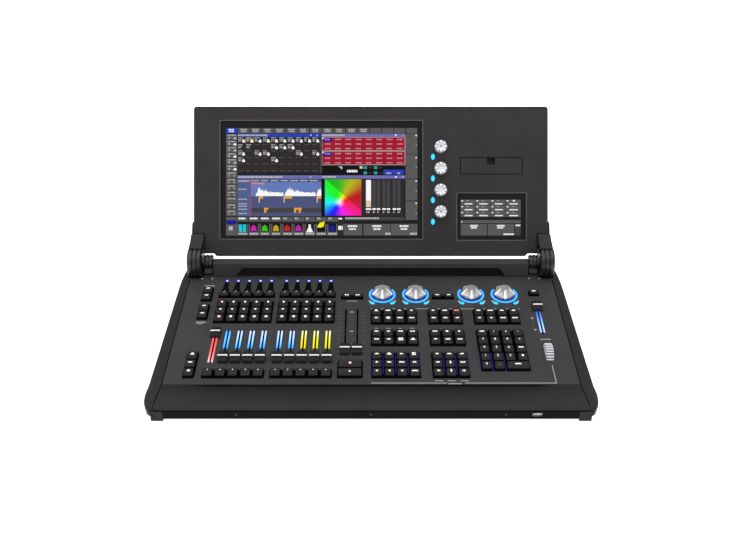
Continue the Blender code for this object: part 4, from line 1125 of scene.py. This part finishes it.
def screen_knobs():
    """Four turned knobs with a straight knurl and a painted reflection on top, each with a lit oval at its
    lower left.
    """
    ovals = bmesh.new()
    profile = [(3, -12.4), (3, 0.8), (11, 0.8), (11.5, 1.4), (11.5, 5), (11, 10.2),
               (10.5, 12.6), (9.9, 13.5), (9, 13.8), (7.2, 13.8), (6.6, 13.4), (2, 13.3)]

    def reach(row, radius, angle):
        return radius - (0.35 * (0.5 - 0.5 * math.cos(30 * angle)) if 3 <= row <= 5 else 0)

    for number in range(1, 5):
        name = f"screen_encoder_{number}"
        center = SCREEN.inverted() @ point_of(name + "_turn") / MM
        mesh = turned(bmesh.new(), profile, 120, "Z", center, reach)
        # Painted reflection: eight dark sectors on the top face stand in for the reflection off spun metal.
        for face in mesh.faces:
            middle = face.calc_center_median() - center
            reflection_wave = math.cos(8 * math.atan2(middle.y, middle.x))
            if middle.z > 13 and reflection_wave < -0.45:
                face.material_index = 1
        make(name + "_knob", mesh, ("knob_bright", "knob_dark_reflection"), name, SCREEN,
             smooth=50, replaces=(name,))
        x, s = center.x - 13.6, center.y - 17.6
        slab(ovals, ellipse(x, s, 3.3, 5.4, 24), center.z - 0.6, center.z + 0.7)
    make("screen_ovals", ovals, "oval_cyan", "screen", SCREEN, smooth=40, bevel=0.3)


# ---------------------------------------------------------------- printing on the control surface

# Heights of the printing's underside and top
PRINT = (-0.2, 0.05)


def print_bars(name, bars, finish, level=PRINT):
    """Thin printed bars from (x, width, u, depth)."""
    mesh = bmesh.new()
    for x, width, u, depth in bars:
        block(mesh, (x - width / 2, x + width / 2), (u - depth / 2, u + depth / 2), level)
    make(name, mesh, finish, "root", DESK, smooth=0)


def surface_printing():
    lines = [(126.5, 253, 184.6, 1.4), (58.5, 117, 3.2, 1.6), (214.5, 141, 3.2, 1.6),
             (129, 20, 2, 2.2), (285, 1.4, 23, 41)]
    print_bars("border_lines", lines, "ink_grey")
    labels = [(PAGE_X, 17, 249, 2.4), (PAGE_X + 1, 13, 245.6, 2), (PAGE_X, 17, 149, 2.4),
              (PAGE_X - 1, 10, 145.4, 1.8), (CROSS_MIDDLE, 19, 205.6, 1.6), (284.5, 17, 105.5, 2)]
    labels += [(x, 13, 8.4, 1.6) for x in MID_XS]
    labels += [(x, width, 133.4, 1.3) for x, width in zip(LEFT_XS, (6, 8, 6, 8))]
    print_bars("labels", labels, "ink_grey")
    scale = []
    for x in [a + KEY_PITCH / 2 for a in PLAYBACK_X[:4] + PLAYBACK_X[5:9]] + [PLAYBACK_X[4] + 10.4]:
        for i in range(11):
            major = i in (0, 10)
            scale.append((x, 4.6 if major else 3, 64 + 6 * i, 0.7))
    for x, width in ((CROSS_X[0] - 10, 5.4), (CROSS_MIDDLE, 4.4), (CROSS_X[1] + 10, 5.4)):
        for i in range(11):
            scale.append((x, width if i % 5 == 0 else width * 0.7, 76 + 10 * i, 0.8))
    for i in range(11):
        scale.append((MASTER_X - 13, 5 if i % 5 == 0 else 3, 126 + 6 * i, 0.8))
    print_bars("scales", scale, "ink_dim")
    bright = [(CROSS_MIDDLE, 6, 176, 1.6), (CROSS_MIDDLE, 6, 126, 1.6)]
    bright += [(MASTER_X - 12, 3.6, 160, 1.4), (MASTER_X - 11, 3.4, 130, 1.4)]
    print_bars("bright_marks", bright, "ink_white")


def select_necks():
    """The dark tapered inlay between each select key and its blue light."""
    necks = bmesh.new()
    lamps = bmesh.new()
    halos = bmesh.new()
    for x in PLAYBACK_X:
        outline = [(x - 8.3, 228.6), (x + 8.3, 228.6), (x + 7.2, 233.6), (x + 5, 241), (x + 3.4, 259)]
        outline += [(x - 3.4, 259), (x - 5, 241), (x - 7.2, 233.6)]
        slab(necks, outline, -0.3, 0.5)
        turned(lamps, [(2.2, -0.4), (2.2, 0.5), (1.7, 1.1), (0.9, 1.4), (0.3, 1.5)], 20, "Z", (x, 262.8, 0))
        turned(halos, [(4.4, -0.4), (4.4, 0.1), (2.3, 0.3)], 24, "Z", (x, 262.8, 0))
    make("select_necks", necks, "dark_lining", "root", DESK, smooth=0, bevel=0.3)
    make("select_lamps", lamps, "led_blue", "root", DESK, smooth=60)
    make("select_halos", halos, "lamp_halo", "root", DESK, smooth=0)


def key_glow():
    """Blue light that escapes between the lower columns of function keys."""
    bars = []
    for x in LEFT_XS[:3] + MID_XS[:2]:
        bars.append((x + KEY_PITCH / 2, 1.4, 46, 42))
    bars += [(RIGHT_XS[0] + KEY_PITCH / 2, 1.4, 52, 42), (RIGHT_XS[1] + KEY_PITCH / 2, 1.4, 52, 42)]
    bars += [(LEFT_XS[0] - 9.05, 0.7, 42, 52), (LEFT_XS[3] + 9.05, 0.7, 50, 40)]
    bars += [(MID_XS[2] + 9.05, 0.7, 50, 40), (RIGHT_XS[0] - 9.05, 0.7, 58, 40)]
    print_bars("key_glow", bars, "glow_deep_blue", level=(-2.2, -0.4))


# ---------------------------------------------------------------- displays

UI_COLORS = {
    "grey": (0.095, 0.093, 0.093), "mid": (0.055, 0.052, 0.055), "dark": (0.026, 0.021, 0.023),
    "black": (0.004, 0.004, 0.004), "white": (0.92, 0.92, 0.92), "pale": (0.46, 0.46, 0.46),
    "blue": (0.018, 0.048, 0.48), "navy": (0.01, 0.01, 0.27), "violet": (0.15, 0.14, 0.42),
    "crimson": (0.33, 0.008, 0.028), "rose": (0.62, 0.24, 0.27), "steel": (0.08, 0.11, 0.25),
    "slate": (0.068, 0.085, 0.19), "sky": (0.12, 0.19, 0.47), "orange": (0.76, 0.35, 0.045),
    "red": (0.55, 0.012, 0.016), "teal": (0.03, 0.30, 0.28), "cyan": (0.008, 0.58, 0.68),
    "magenta": (0.52, 0.014, 0.42), "green": (0.035, 0.50, 0.006), "gold": (0.50, 0.34, 0.013),
    "yellow": (0.85, 0.82, 0.008), "cream": (0.72, 0.54, 0.38),
}


# Height of both displays' fronts, and of each layer of a picture above them
DISPLAY_FACE = -11.6
LAYER = 0.012


class Picture:
    """Collects flat coloured shapes on a display, in fractions of its lit area, and makes one piece."""

    def __init__(self, x0, x1, s0, s1, bands=((0, 0), (100, 100))):
        self.x0, self.x1, self.s0, self.s1 = x0, x1, s0, s1
        self.mesh = bmesh.new()
        self.colors = []
        self.bands = bands

    def point(self, a, b):
        """a runs 0..100 from left to right, b runs 0..100 from top to bottom, stretched by the row bands."""
        for (b0, t0), (b1, t1) in zip(self.bands, self.bands[1:]):
            if b <= b1:
                b = t0 + (t1 - t0) * (b - b0) / (b1 - b0)
                break
        return (self.x0 + (self.x1 - self.x0) * a / 100, self.s1 - (self.s1 - self.s0) * b / 100)

    def shape(self, points, color, layer=1):
        if color not in self.colors:
            self.colors.append(color)
        outline = [self.point(a, b) for a, b in points]
        slab(self.mesh, outline, DISPLAY_FACE - 0.15, DISPLAY_FACE + LAYER * layer, self.colors.index(color))

    def rect(self, a0, a1, b0, b1, color, layer=1):
        self.shape(rectangle(a0, a1, b0, b1), color, layer)

    def rects(self, *rows):
        for row in rows:
            self.rect(*row)

    def words(self, a0, a1, b0, b1, color, layer, seed):
        """A line of writing seen from afar: short dashes of uneven length."""
        draw = random.Random(seed)
        while a0 < a1 - 0.35:
            end = min(a0 + draw.uniform(0.5, 1.5), a1)
            self.rect(a0, end, b0, b1, color, layer)
            a0 = end + 0.22

    def lines(self, *rows):
        for row in rows:
            self.words(*row)

    def make(self, name):
        finishes = [f"{name}_{color}" for color in self.colors]
        for finish, color in zip(finishes, self.colors):
            lit(finish, UI_COLORS[color], 1, 0.03, 0.04)
        make(name, self.mesh, finishes, "screen", SCREEN, smooth=0)


def main_picture():
    """The main display's working screen, drawn as plain coloured areas."""
    bands = ((0, 0), (6, 5.4), (9.2, 8.5), (38.8, 34.9), (47.8, 44), (50.8, 47), (88.8, 81.9),
             (89.2, 82.5), (93.6, 86.8), (94, 88.9), (100, 100))
    pic = Picture(-261.2, 84.2, 46.9, 241.3, bands)
    pic.rect(0, 100, 0, 100, "dark", 0)
    for window in (top_tabs, left_column, fixture_grid, cue_blocks, status_strip, timeline, level_bars,
                   right_column, bottom_row):
        window(pic)
    pic.make("main_picture")
    color_field(pic)


def top_tabs(pic):
    pitch = 6.15
    for i in range(16):
        a = i * pitch * 1.016
        back, ink = ("grey", "pale") if i else ("blue", "white")
        pic.rect(a + 0.15, a + pitch - 0.1, 0.2, 5.6, back)
        if i < 12:
            pic.lines((a + 1.4, a + pitch - 1.4, 1.2, 2.4, ink, 2, i),
                      (a + 1.7, a + pitch - 1.7, 3.2, 4.3, ink, 2, i + 40))


def left_column(pic):
    for i in range(13):
        b = 6.4 + i * 6.35
        pic.rect(0.15, 6, b, b + 5.9, "grey")
        pic.words(1, 5.2, b + 0.6, b + 1.6, "pale", 2, 100 + i)
        if i < 6:
            pic.rect(1.3, 2.2, b + 2.8, b + 4.3, "pale", 2)
            ink = "white" if i % 2 else "pale"
            pic.shape([(3.8, b + 5), (5.6, b + 5), (5.4, b + 2.9), (4.4, b + 3.1)], ink, 2)
        elif i != 10:
            pic.rects((1.3, 2, b + 3.1, b + 4.2, "pale", 2), (4, 4.8, b + 3.1, b + 4.2, "pale", 2))
    pic.rects((0.15, 6, 89.2, 99.8, "grey"), (0.3, 5.6, 92.3, 94.3, "navy", 2),
              (1.6, 3.6, 95.2, 97.2, "pale", 2))


def fixture_grid(pic):
    """The window of lamps at the upper left, with a blue title bar."""
    a0, a1 = 6.2, 49.2
    pic.rect(a0, a1, 6, 9, "blue")
    pic.words(a0 + 0.3, 22, 6.7, 8.3, "pale", 2, 7)
    pic.rects((44, 44.8, 6.8, 8.2, "pale", 2), (47.3, 47.9, 6.8, 8.2, "pale", 2),
              (a0, a1, 9.1, 45.8, "dark"))
    columns = 10
    pitch = (a1 - a0) / columns
    rows = [9.6, 16.6, 23.2, 30, 36.6, 43.2]
    lamps = [range(10), (0, 1, 4, 5, 6), (0, 2, 3, 7, 9), (0, 4), (), ()]
    for j, b in enumerate(rows):
        for i in range(columns):
            a = a0 + pitch * i
            seed = 10 * j + i
            ink = "pale" if i in lamps[j] else "grey"
            pic.words(a + 0.3, a + pitch - 1.5, b, b + 0.7, ink, 2, 200 + seed)
            if i not in lamps[j]:
                continue
            pic.lines((a + 0.3, a + 2.1, b + 1.6, b + 2.5, "pale", 2, 400 + seed),
                      (a + 0.4, a + 2, b + 3.2, b + 4.2, "pale", 2, 500 + seed))
            if (j, i) in ((1, 0), (1, 1)):
                continue
            lean = random.Random(300 + seed).uniform(-0.2, 0.2)
            lamp = [(a + 2.5, b + 5.2), (a + 2.3, b + 3.8), (a + 2.9 + lean, b + 1.6), (a + 3.5, b + 2.4),
                    (a + 3.9, b + 4.2), (a + 3.6, b + 5.3)]
            pic.shape(lamp, "white", 3)
    pic.rects((10.2, 10.5, 10.6, 15.4, "gold", 3), (14.3, 14.6, 10.6, 15.4, "gold", 3),
              (10.3, 14.5, 10.2, 10.7, "gold", 2), (23.4, 24, 13.2, 14.4, "green", 4),
              (24.2, 24.9, 12.8, 13.8, "red", 4), (a1, a1 + 1, 9, 45.8, "mid", 2))


def cue_blocks(pic):
    """Two crimson cue lists with blue first cells."""
    a0, a1 = 50.3, 93.6
    pic.rect(a0 - 0.6, a1, 6, 9, "violet")
    pic.words(a0, 62, 6.7, 8.3, "pale", 2, 11)
    pic.rects((88.3, 89, 6.7, 8.3, "white", 2), (92, 92.6, 6.9, 8.1, "pale", 2))
    for block_index, b0 in enumerate((9.6, 24.4)):
        pic.rects((a0 - 0.3, a1, b0 - 0.4, b0 + 13.9, "pale"), (a0, a1 - 0.3, b0, b0 + 13.4, "crimson", 2))
        pitch = (a1 - 0.3 - a0) / 8
        pic.rect(a0 + 0.1, a0 + pitch - 0.2, b0 + 0.2, b0 + 4.4, "navy", 3)
        pic.shape([(a0 + 0.1, b0 + 0.2), (a0 + 1.2, b0 + 0.2), (a0 + 0.1, b0 + 2)], "white", 4)
        for j in range(3):
            for i in range(8):
                a = a0 + pitch * i + pitch * 0.25
                b = b0 + 1.4 + j * 4.75
                pic.words(a, a + pitch * 0.55, b, b + 1.3, "rose", 4, 600 + 50 * block_index + 8 * j + i)


def status_strip(pic):
    pic.rect(50, 93.1, 38.8, 47.6, "black")
    pic.shape([(58.6, 39.6), (60.8, 39.6), (60.8, 42.6)], "pale", 2)
    pic.words(63.2, 68.6, 42.8, 45, "white", 2, 21)
    pic.rect(69.8, 71.2, 39.2, 41.6, "cream", 2)
    for a in (71.8, 77.2):
        for b in (39.4, 44.2):
            pic.rects((a, a + 1.8, b, b + 2.6, "teal", 2), (a + 2.6, a + 4.4, b + 1.2, b + 1.6, "grey", 2))
    pic.rect(82.2, 92.8, 42.6, 47, "blue", 2)
    pic.lines((83.8, 86.4, 45.2, 46.5, "pale", 3, 22), (89.4, 91.2, 45.2, 46.5, "pale", 3, 23))


def timeline(pic):
    """The timeline window with its white sound wave and orange flags."""
    a0, a1 = 6.2, 49.8
    pic.rect(a0, a1 + 1, 47.8, 50.8, "violet")
    pic.words(a0 + 0.3, 30, 48.5, 50.1, "pale", 2, 31)
    pic.rects((43.8, 44.6, 48.5, 50.1, "pale", 2), (a0, 13.1, 50.9, 88.8, "steel"))
    pic.words(a0 + 0.2, 12.6, 52.6, 54, "pale", 2, 32)
    for b in (61, 71, 75.8, 78.2, 81.2, 85.4):
        pic.words(a0 + 0.4, 11, b, b + 1, "pale", 2, round(b))
    pic.rect(13.1, a1, 50.9, 54.4, "slate")
    for i in range(7):
        pic.words(13.4 + 5.1 * i, 17.2 + 5.1 * i, 52.2, 53.4, "pale", 2, 700 + i)
    pic.rects((13.1, a1, 54.4, 68.6, "sky"), (13.3, 20.2, 54.8, 56.4, "rose", 2),
              (13.1, a1, 68.6, 88.8, "slate"), (13.1, a1, 80.4, 85, "mid", 2))
    wave(pic, 14.5, a1, 57.6, 68.4)
    for a, width in ((17.2, 2.2), (30.2, 4.4), (47.4, 2.4)):
        pic.rects((a + 0.5, a + width, 68.2, 71, "orange", 3), (a, a + 0.5, 69, 75.2, "cream", 3))
    pic.rects((20, 22.2, 80.2, 82.2, "orange", 3), (20, 21.1, 82.2, 85.2, "orange", 3),
              (35.6, 39.6, 80.2, 82.2, "orange", 3), (35.6, 36.7, 82.2, 85.2, "orange", 3),
              (38, 39.1, 82.2, 85.2, "orange", 3), (13, 13.3, 50.9, 88.8, "red", 4))


def wave(pic, a0, a1, top, bottom):
    """A sound wave's upper half: two swells with ragged peaks."""
    draw = random.Random(5)
    points = []
    count = 110
    for i in range(count + 1):
        t = i / count
        swell = 0
        for start, end in ((0.03, 0.44), (0.455, 0.91), (0.925, 1.3)):
            if start < t < end:
                part = (t - start) / (end - start)
                swell = min(part * 9, 1) * (1 - 0.62 * min(part * 1.6, 1))
        ragged = draw.uniform(0.55, 1) if swell > 0.5 else draw.uniform(0.8, 1)
        points.append((a0 + (a1 - a0) * t, bottom - (bottom - top) * swell * ragged))
    pic.shape([(a0, bottom)] + points + [(a1, bottom)], "white", 2)


def level_bars(pic):
    """The window at the lower middle with one lit level bar and six dark ones."""
    pic.rect(50.6, 93.6, 47.8, 50.8, "violet")
    pic.words(50.4, 58, 48.5, 50.1, "pale", 2, 41)
    pic.rects((88.3, 89, 48.5, 50.1, "white", 2), (92, 92.6, 48.6, 49.9, "pale", 2),
              (49.8, 51.2, 50.9, 88.8, "black"), (70.6, 92.9, 50.9, 88.8, "dark"),
              (73.1, 75.7, 52.2, 73, "white", 2), (73.1, 75.7, 73, 79.5, "cream", 2))
    for a in (76.4, 78.7, 81.6, 83.9, 87, 89.3):
        pic.rects((a, a + 1.7, 52.4, 79.5, "mid", 2), (a, a + 1.8, 80.6, 82.4, "white", 2))
        pic.words(a + 0.3, a + 1.5, 83.8, 85.4, "pale", 2, round(a))
    pic.rect(73, 75.8, 80.6, 82.4, "white", 2)
    pic.words(73.2, 75, 83.8, 85.4, "pale", 2, 72)


def right_column(pic):
    for b0, b1 in ((6, 26.6), (27.2, 50.8), (51.4, 72.8), (73.4, 99.6)):
        pic.rect(93.7, 99.9, b0, min(b1, 92), "grey")
    for b in (7, 30, 52.6, 75):
        pic.rect(98.9, 99.6, b, b + 1.4, "white", 2)
    for b in (17, 40.2, 62.6, 85.4):
        pic.rect(99, 99.6, b, b + 0.9, "pale", 2)


def bottom_row(pic):
    icons = ["cyan", "magenta", "green", "gold", "red", "magenta", "white", "yellow", "navy"]
    pitch = 5.84
    for i, color in enumerate(icons):
        a = 6.1 + pitch * i
        pic.rect(a, a + pitch - 0.3, 89.4, 93.6, "grey")
        pic.words(a + 0.6, a + (4.6 if i < 4 else 2.4), 89.8, 91.4, "white" if i < 4 else "pale", 2, 800 + i)
        pic.rects((a, a + pitch - 0.3, 94, 99.8, "grey"), (a + 0.7, a + pitch - 1.1, 94, 98, "black", 2))
        if i == 0:
            pic.rects((a + 0.8, a + 2.4, 94.3, 98, color, 3), (a + 2.8, a + 4.4, 94.3, 98, color, 3))
            icon = []
        elif color == "white":
            icon = [(0.8, 98.2), (2, 95.6), (3.2, 95.6), (4.4, 98.2)]
        elif color == "yellow":
            icon = [(0.6, 95.6), (2, 93.8), (4.6, 93.6), (4, 95.4), (2.2, 96)]
        else:
            icon = [(1, 97.6), (1.3, 95.4), (2.5, 94.4), (3.8, 95.4), (4.2, 97.6)]
        if icon:
            pic.shape([(a + x, b) for x, b in icon], color, 3)
        if color == "white":
            pic.rect(a + 2, a + 3.2, 94.3, 95.8, color, 3)
        pic.words(a + 0.5, a + pitch - 0.8, 98.5, 99.4, "pale", 2, 820 + i)
    pic.rect(58.6, 61.6, 89.4, 99.8, "dark")
    pic.lines((58.7, 61.2, 90, 91.6, "white", 2, 51), (58.7, 61.2, 95, 97, "white", 2, 52))
    pic.rect(62, 93.1, 89.2, 92.4, "mid")
    pic.words(62.3, 80, 89.7, 91.2, "pale", 2, 53)
    for a0, a1 in ((61, 71.1), (71.8, 85.8), (86.1, 99.9)):
        pic.rect(a0, a1, 94, 99.8, "grey")
        middle = (a0 + a1) / 2
        pic.lines((middle - 2.4, middle + 2.4, 94.7, 95.6, "white", 2, round(a0)),
                  (middle - 1.8, middle + 1.8, 96.2, 97, "white", 2, round(a1)))
    pic.lines((83.2, 86.4, 98.4, 99.5, "pale", 2, 56), (96, 99.6, 98.4, 99.5, "pale", 2, 57))


def color_field(pic):
    """The colour picker: hue runs round a white point, and colour deepens away from it."""
    left, bottom = pic.point(51.7, 88)
    right, top = pic.point(70.7, 51.4)
    surface = Surface("color_field", (0.01, 0.01, 0.01), 0.3, specular=0.06)
    across = surface.math("SUBTRACT", surface.split()[0], (left + 0.40 * (right - left)) * MM)
    up = surface.math("SUBTRACT", surface.split()[1], (bottom + 0.37 * (top - bottom)) * MM)
    angle = surface.math("ARCTAN2", up, across)
    turn = surface.math("FRACT", surface.math("DIVIDE", angle, 2 * math.pi))
    bend = surface.filled("FloatCurve", {"Value": turn})
    for a, b in ((0.055, 0.055), (0.11, 0.15), (0.167, 0.21), (0.25, 0.32), (0.333, 0.39), (0.417, 0.46),
                 (0.5, 0.53), (0.625, 0.65), (0.75, 0.83), (0.875, 0.92)):
        bend.mapping.curves[0].points.new(a, b)
    bend.mapping.update()
    hue = surface.math("FRACT", surface.math("SUBTRACT", bend.outputs["Value"], 0.04))
    saturation = surface.remap(surface.math("SQRT", surface.total(across, across, up, up)), 0.0012, 0.0115)
    shade = surface.remap(surface.total(across, 0.66, up, 0.75), 0.0135, 0.0155, 1, 0.74)
    mixed = surface.filled("CombineColor", {0: hue, 1: saturation, 2: shade}, mode="HSV").outputs["Color"]
    surface.glow(surface.filled("Gamma", {"Color": mixed, "Gamma": 2.2}).outputs["Color"], 0.9)
    mesh = slab(bmesh.new(), rectangle(left, right, bottom, top), DISPLAY_FACE - 0.15, DISPLAY_FACE + 0.03)
    make("color_field", mesh, "color_field", "screen", SCREEN, smooth=0)


def side_picture():
    """The side display: a grid of grey cells, a strip and two large cells."""
    pic = Picture(161.4, 270.3, 47.4, 112.5)
    pic.rect(0, 100, 0, 100, "mid", 0)
    for j in range(3):
        for i in range(4):
            a, b = 1 + 25 * i, 2 + 16.2 * j
            pic.rects((a - 0.6, a + 23.6, b - 1.4, b + 14.2, "grey"),
                      (a, a + 3.4, b + 0.6, b + 3.2, "white", 2),
                      (a + 9, a + 13, b + 0.8, b + 2.2, "pale", 2))
            pic.words(a + 6 - i % 2, a + 19, b + 8.6, b + 12, "white", 2, 900 + 4 * j + i)
    pic.rects((87, 90, 1.6, 6, "white", 4), (0.4, 99.6, 57, 66, "grey"), (1.2, 2.4, 60, 64, "white", 2),
              (0.4, 43.6, 68, 99.6, "grey"), (45, 88.8, 68, 99.6, "grey"), (90.2, 99.6, 68, 99.6, "mid"))
    for middle, seed in ((22, 950), (66, 960)):
        pic.lines((middle - 6, middle + 7, 70.6, 75, "white", 2, seed),
                  (middle - 5, middle + 5, 76.4, 80.4, "white", 2, seed + 1))
    pic.lines((91, 99, 69.6, 74, "white", 2, 970), (71, 88.4, 94, 98.4, "white", 2, 971))
    pic.make("side_picture")


# The media flap's left, right, lower and upper edges
HATCH = (161.4, 271.9, 158.3, 187.1)


def housing_lines():
    """The dark gap round the media flap and the dark line along the housing's top edge."""
    x0, x1, s0, s1 = HATCH
    line = 1.1
    bezel = NODES["screen_bezel"]
    corners = [SCREEN.inverted() @ (bezel.matrix_world @ vert.co) / MM for vert in bezel.data.vertices]
    left = min(corner.x for corner in corners)
    right = max(corner.x for corner in corners)
    top = max(corner.y for corner in corners)
    mesh = bmesh.new()
    for span in ((x0 - line, x1 + line, s0 - line, s0), (x0 - line, x1 + line, s1, s1 + line),
                 (x0 - line, x0, s0, s1), (x1, x1 + line, s0, s1),
                 (left + 2, right - 2, top - 1, top + 0.15)):
        slab(mesh, rectangle(*span), -9.9, -9.53)
    make("housing_lines", mesh, "dark_lining", "screen", SCREEN, smooth=0)


def recess_rims():
    """The chamfered rim round each display's recess, lighter than the casing as a painted highlight."""
    mesh = bmesh.new()
    low, high = -9.7, -9.52
    for x0, x1, s0, s1 in ((-270.3, 92.3, 41.8, 253.5), (155.6, 278.6, 39.9, 123.1)):
        inner, outer = [rounded(x0 - gap, x1 + gap, s0 - gap, s1 + gap, radius)
                        for gap, radius in ((0.25, 0.6), (1.85, 2))]
        bridge(mesh, [[(*point, height) for point in ring]
                      for ring, height in ((inner, low), (inner, high), (outer, high), (outer, low))])
    make("recess_rims", mesh, "recess_rim", "screen", SCREEN, smooth=0)


# ---------------------------------------------------------------- rear, inside and underside

def rear_fittings():
    """Sockets on the rear plate, the inlet's pins, and the rear screws."""
    rear = BASE_REAR
    shells = bmesh.new()
    holes = bmesh.new()
    for x in frange(-270, 34, 4):
        ring_y(shells, (x, rear, 40), 12, 9.4, 2.2)
        disc_y(holes, (x, rear, 40), 9.3, 1)
    for x in (-120, -92):
        block(shells, (x - 8.4, x + 8.4), (rear, rear + 1.4), (31, 47))
        block(holes, (x - 6.2, x + 6.2), (rear + 1.3, rear + 1.6), (33, 44))
    for x in (-60, -42, -24, -6):
        block(shells, (x - 6.8, x + 6.8), (rear, rear + 1.2), (36, 42.4))
        block(holes, (x - 5.8, x + 5.8), (rear + 1.1, rear + 1.4), (37, 41.4))
    for x in (24, 66):
        block(shells, (x - 15, x + 15), (rear, rear + 1.4), (33, 45))
        block(holes, (x - 9.6, x + 9.6), (rear + 1.3, rear + 1.6), (35.6, 42.4))
    make("rear_sockets", shells, "steel", "root", BASE, smooth=35)
    make("rear_socket_mouths", holes, "dark_lining", "root", BASE, smooth=35)
    x, _, z = middle_of("power_inlet")
    pins = bmesh.new()
    for dx, dz in ((-7, -2.2), (0, 2.2), (7, -2.2)):
        block(pins, (x + dx - 1, x + dx + 1), (rear - 15.6, rear - 3), (z + dz - 2, z + dz + 2))
    make("inlet_pins", pins, "contact_brass", "root", BASE, smooth=0, bevel=0.3)
    x, _, z = middle_of("front_usb_socket")
    tongue = bmesh.new()
    block(tongue, (x - 5.6, x + 5.6), (-56.2, -44.6), (z - 0.9, z + 2.2))
    make("usb_tongue", tongue, "usb_tongue", "root", BASE, smooth=0, bevel=0.15)
    screws = bmesh.new()
    for px in (-300, -150, 110, 300):
        for pz in (12, 62):
            disc_y(screws, (px, rear, pz), 3, 1.2)
    make("rear_screws", screws, "steel", "root", BASE, smooth=35, bevel=0.4)


def ring_y(mesh, center, outer, inner, depth):
    """A flat ring standing out of the rear plate."""
    profile = ((outer, 0), (outer, depth * 0.7), (outer - 0.8, depth), (inner, depth), (inner, 0))
    bridge(mesh, [[(x, center[1] + y, z) for x, z in ellipse(center[0], center[2], r, r, 32)]
                  for r, y in profile])


def disc_y(mesh, center, radius, depth):
    outline = ellipse(center[0], center[2], radius, radius, 28)
    loft(mesh, [[(x, center[1] + y, z) for x, z in outline] for y in (0, depth)])


def main():
    camera()
    floor()
    lights()
    make_materials()
    dress_nodes()
    palm_rest()
    seams()
    front_strip()
    hump_details()
    for word, side in (("left", -1), ("right", 1)):
        cheek(word, side)
        hinge_arm(word, side)
        knuckle(word, side)
        foot_screws(word, side)
    keys()
    faders()
    for number in range(1, 5):
        encoder(number)
    intensity_wheel()
    screen_knobs()
    surface_printing()
    select_necks()
    key_glow()
    recess_rims()
    housing_lines()
    main_picture()
    side_picture()
    rear_fittings()


main()
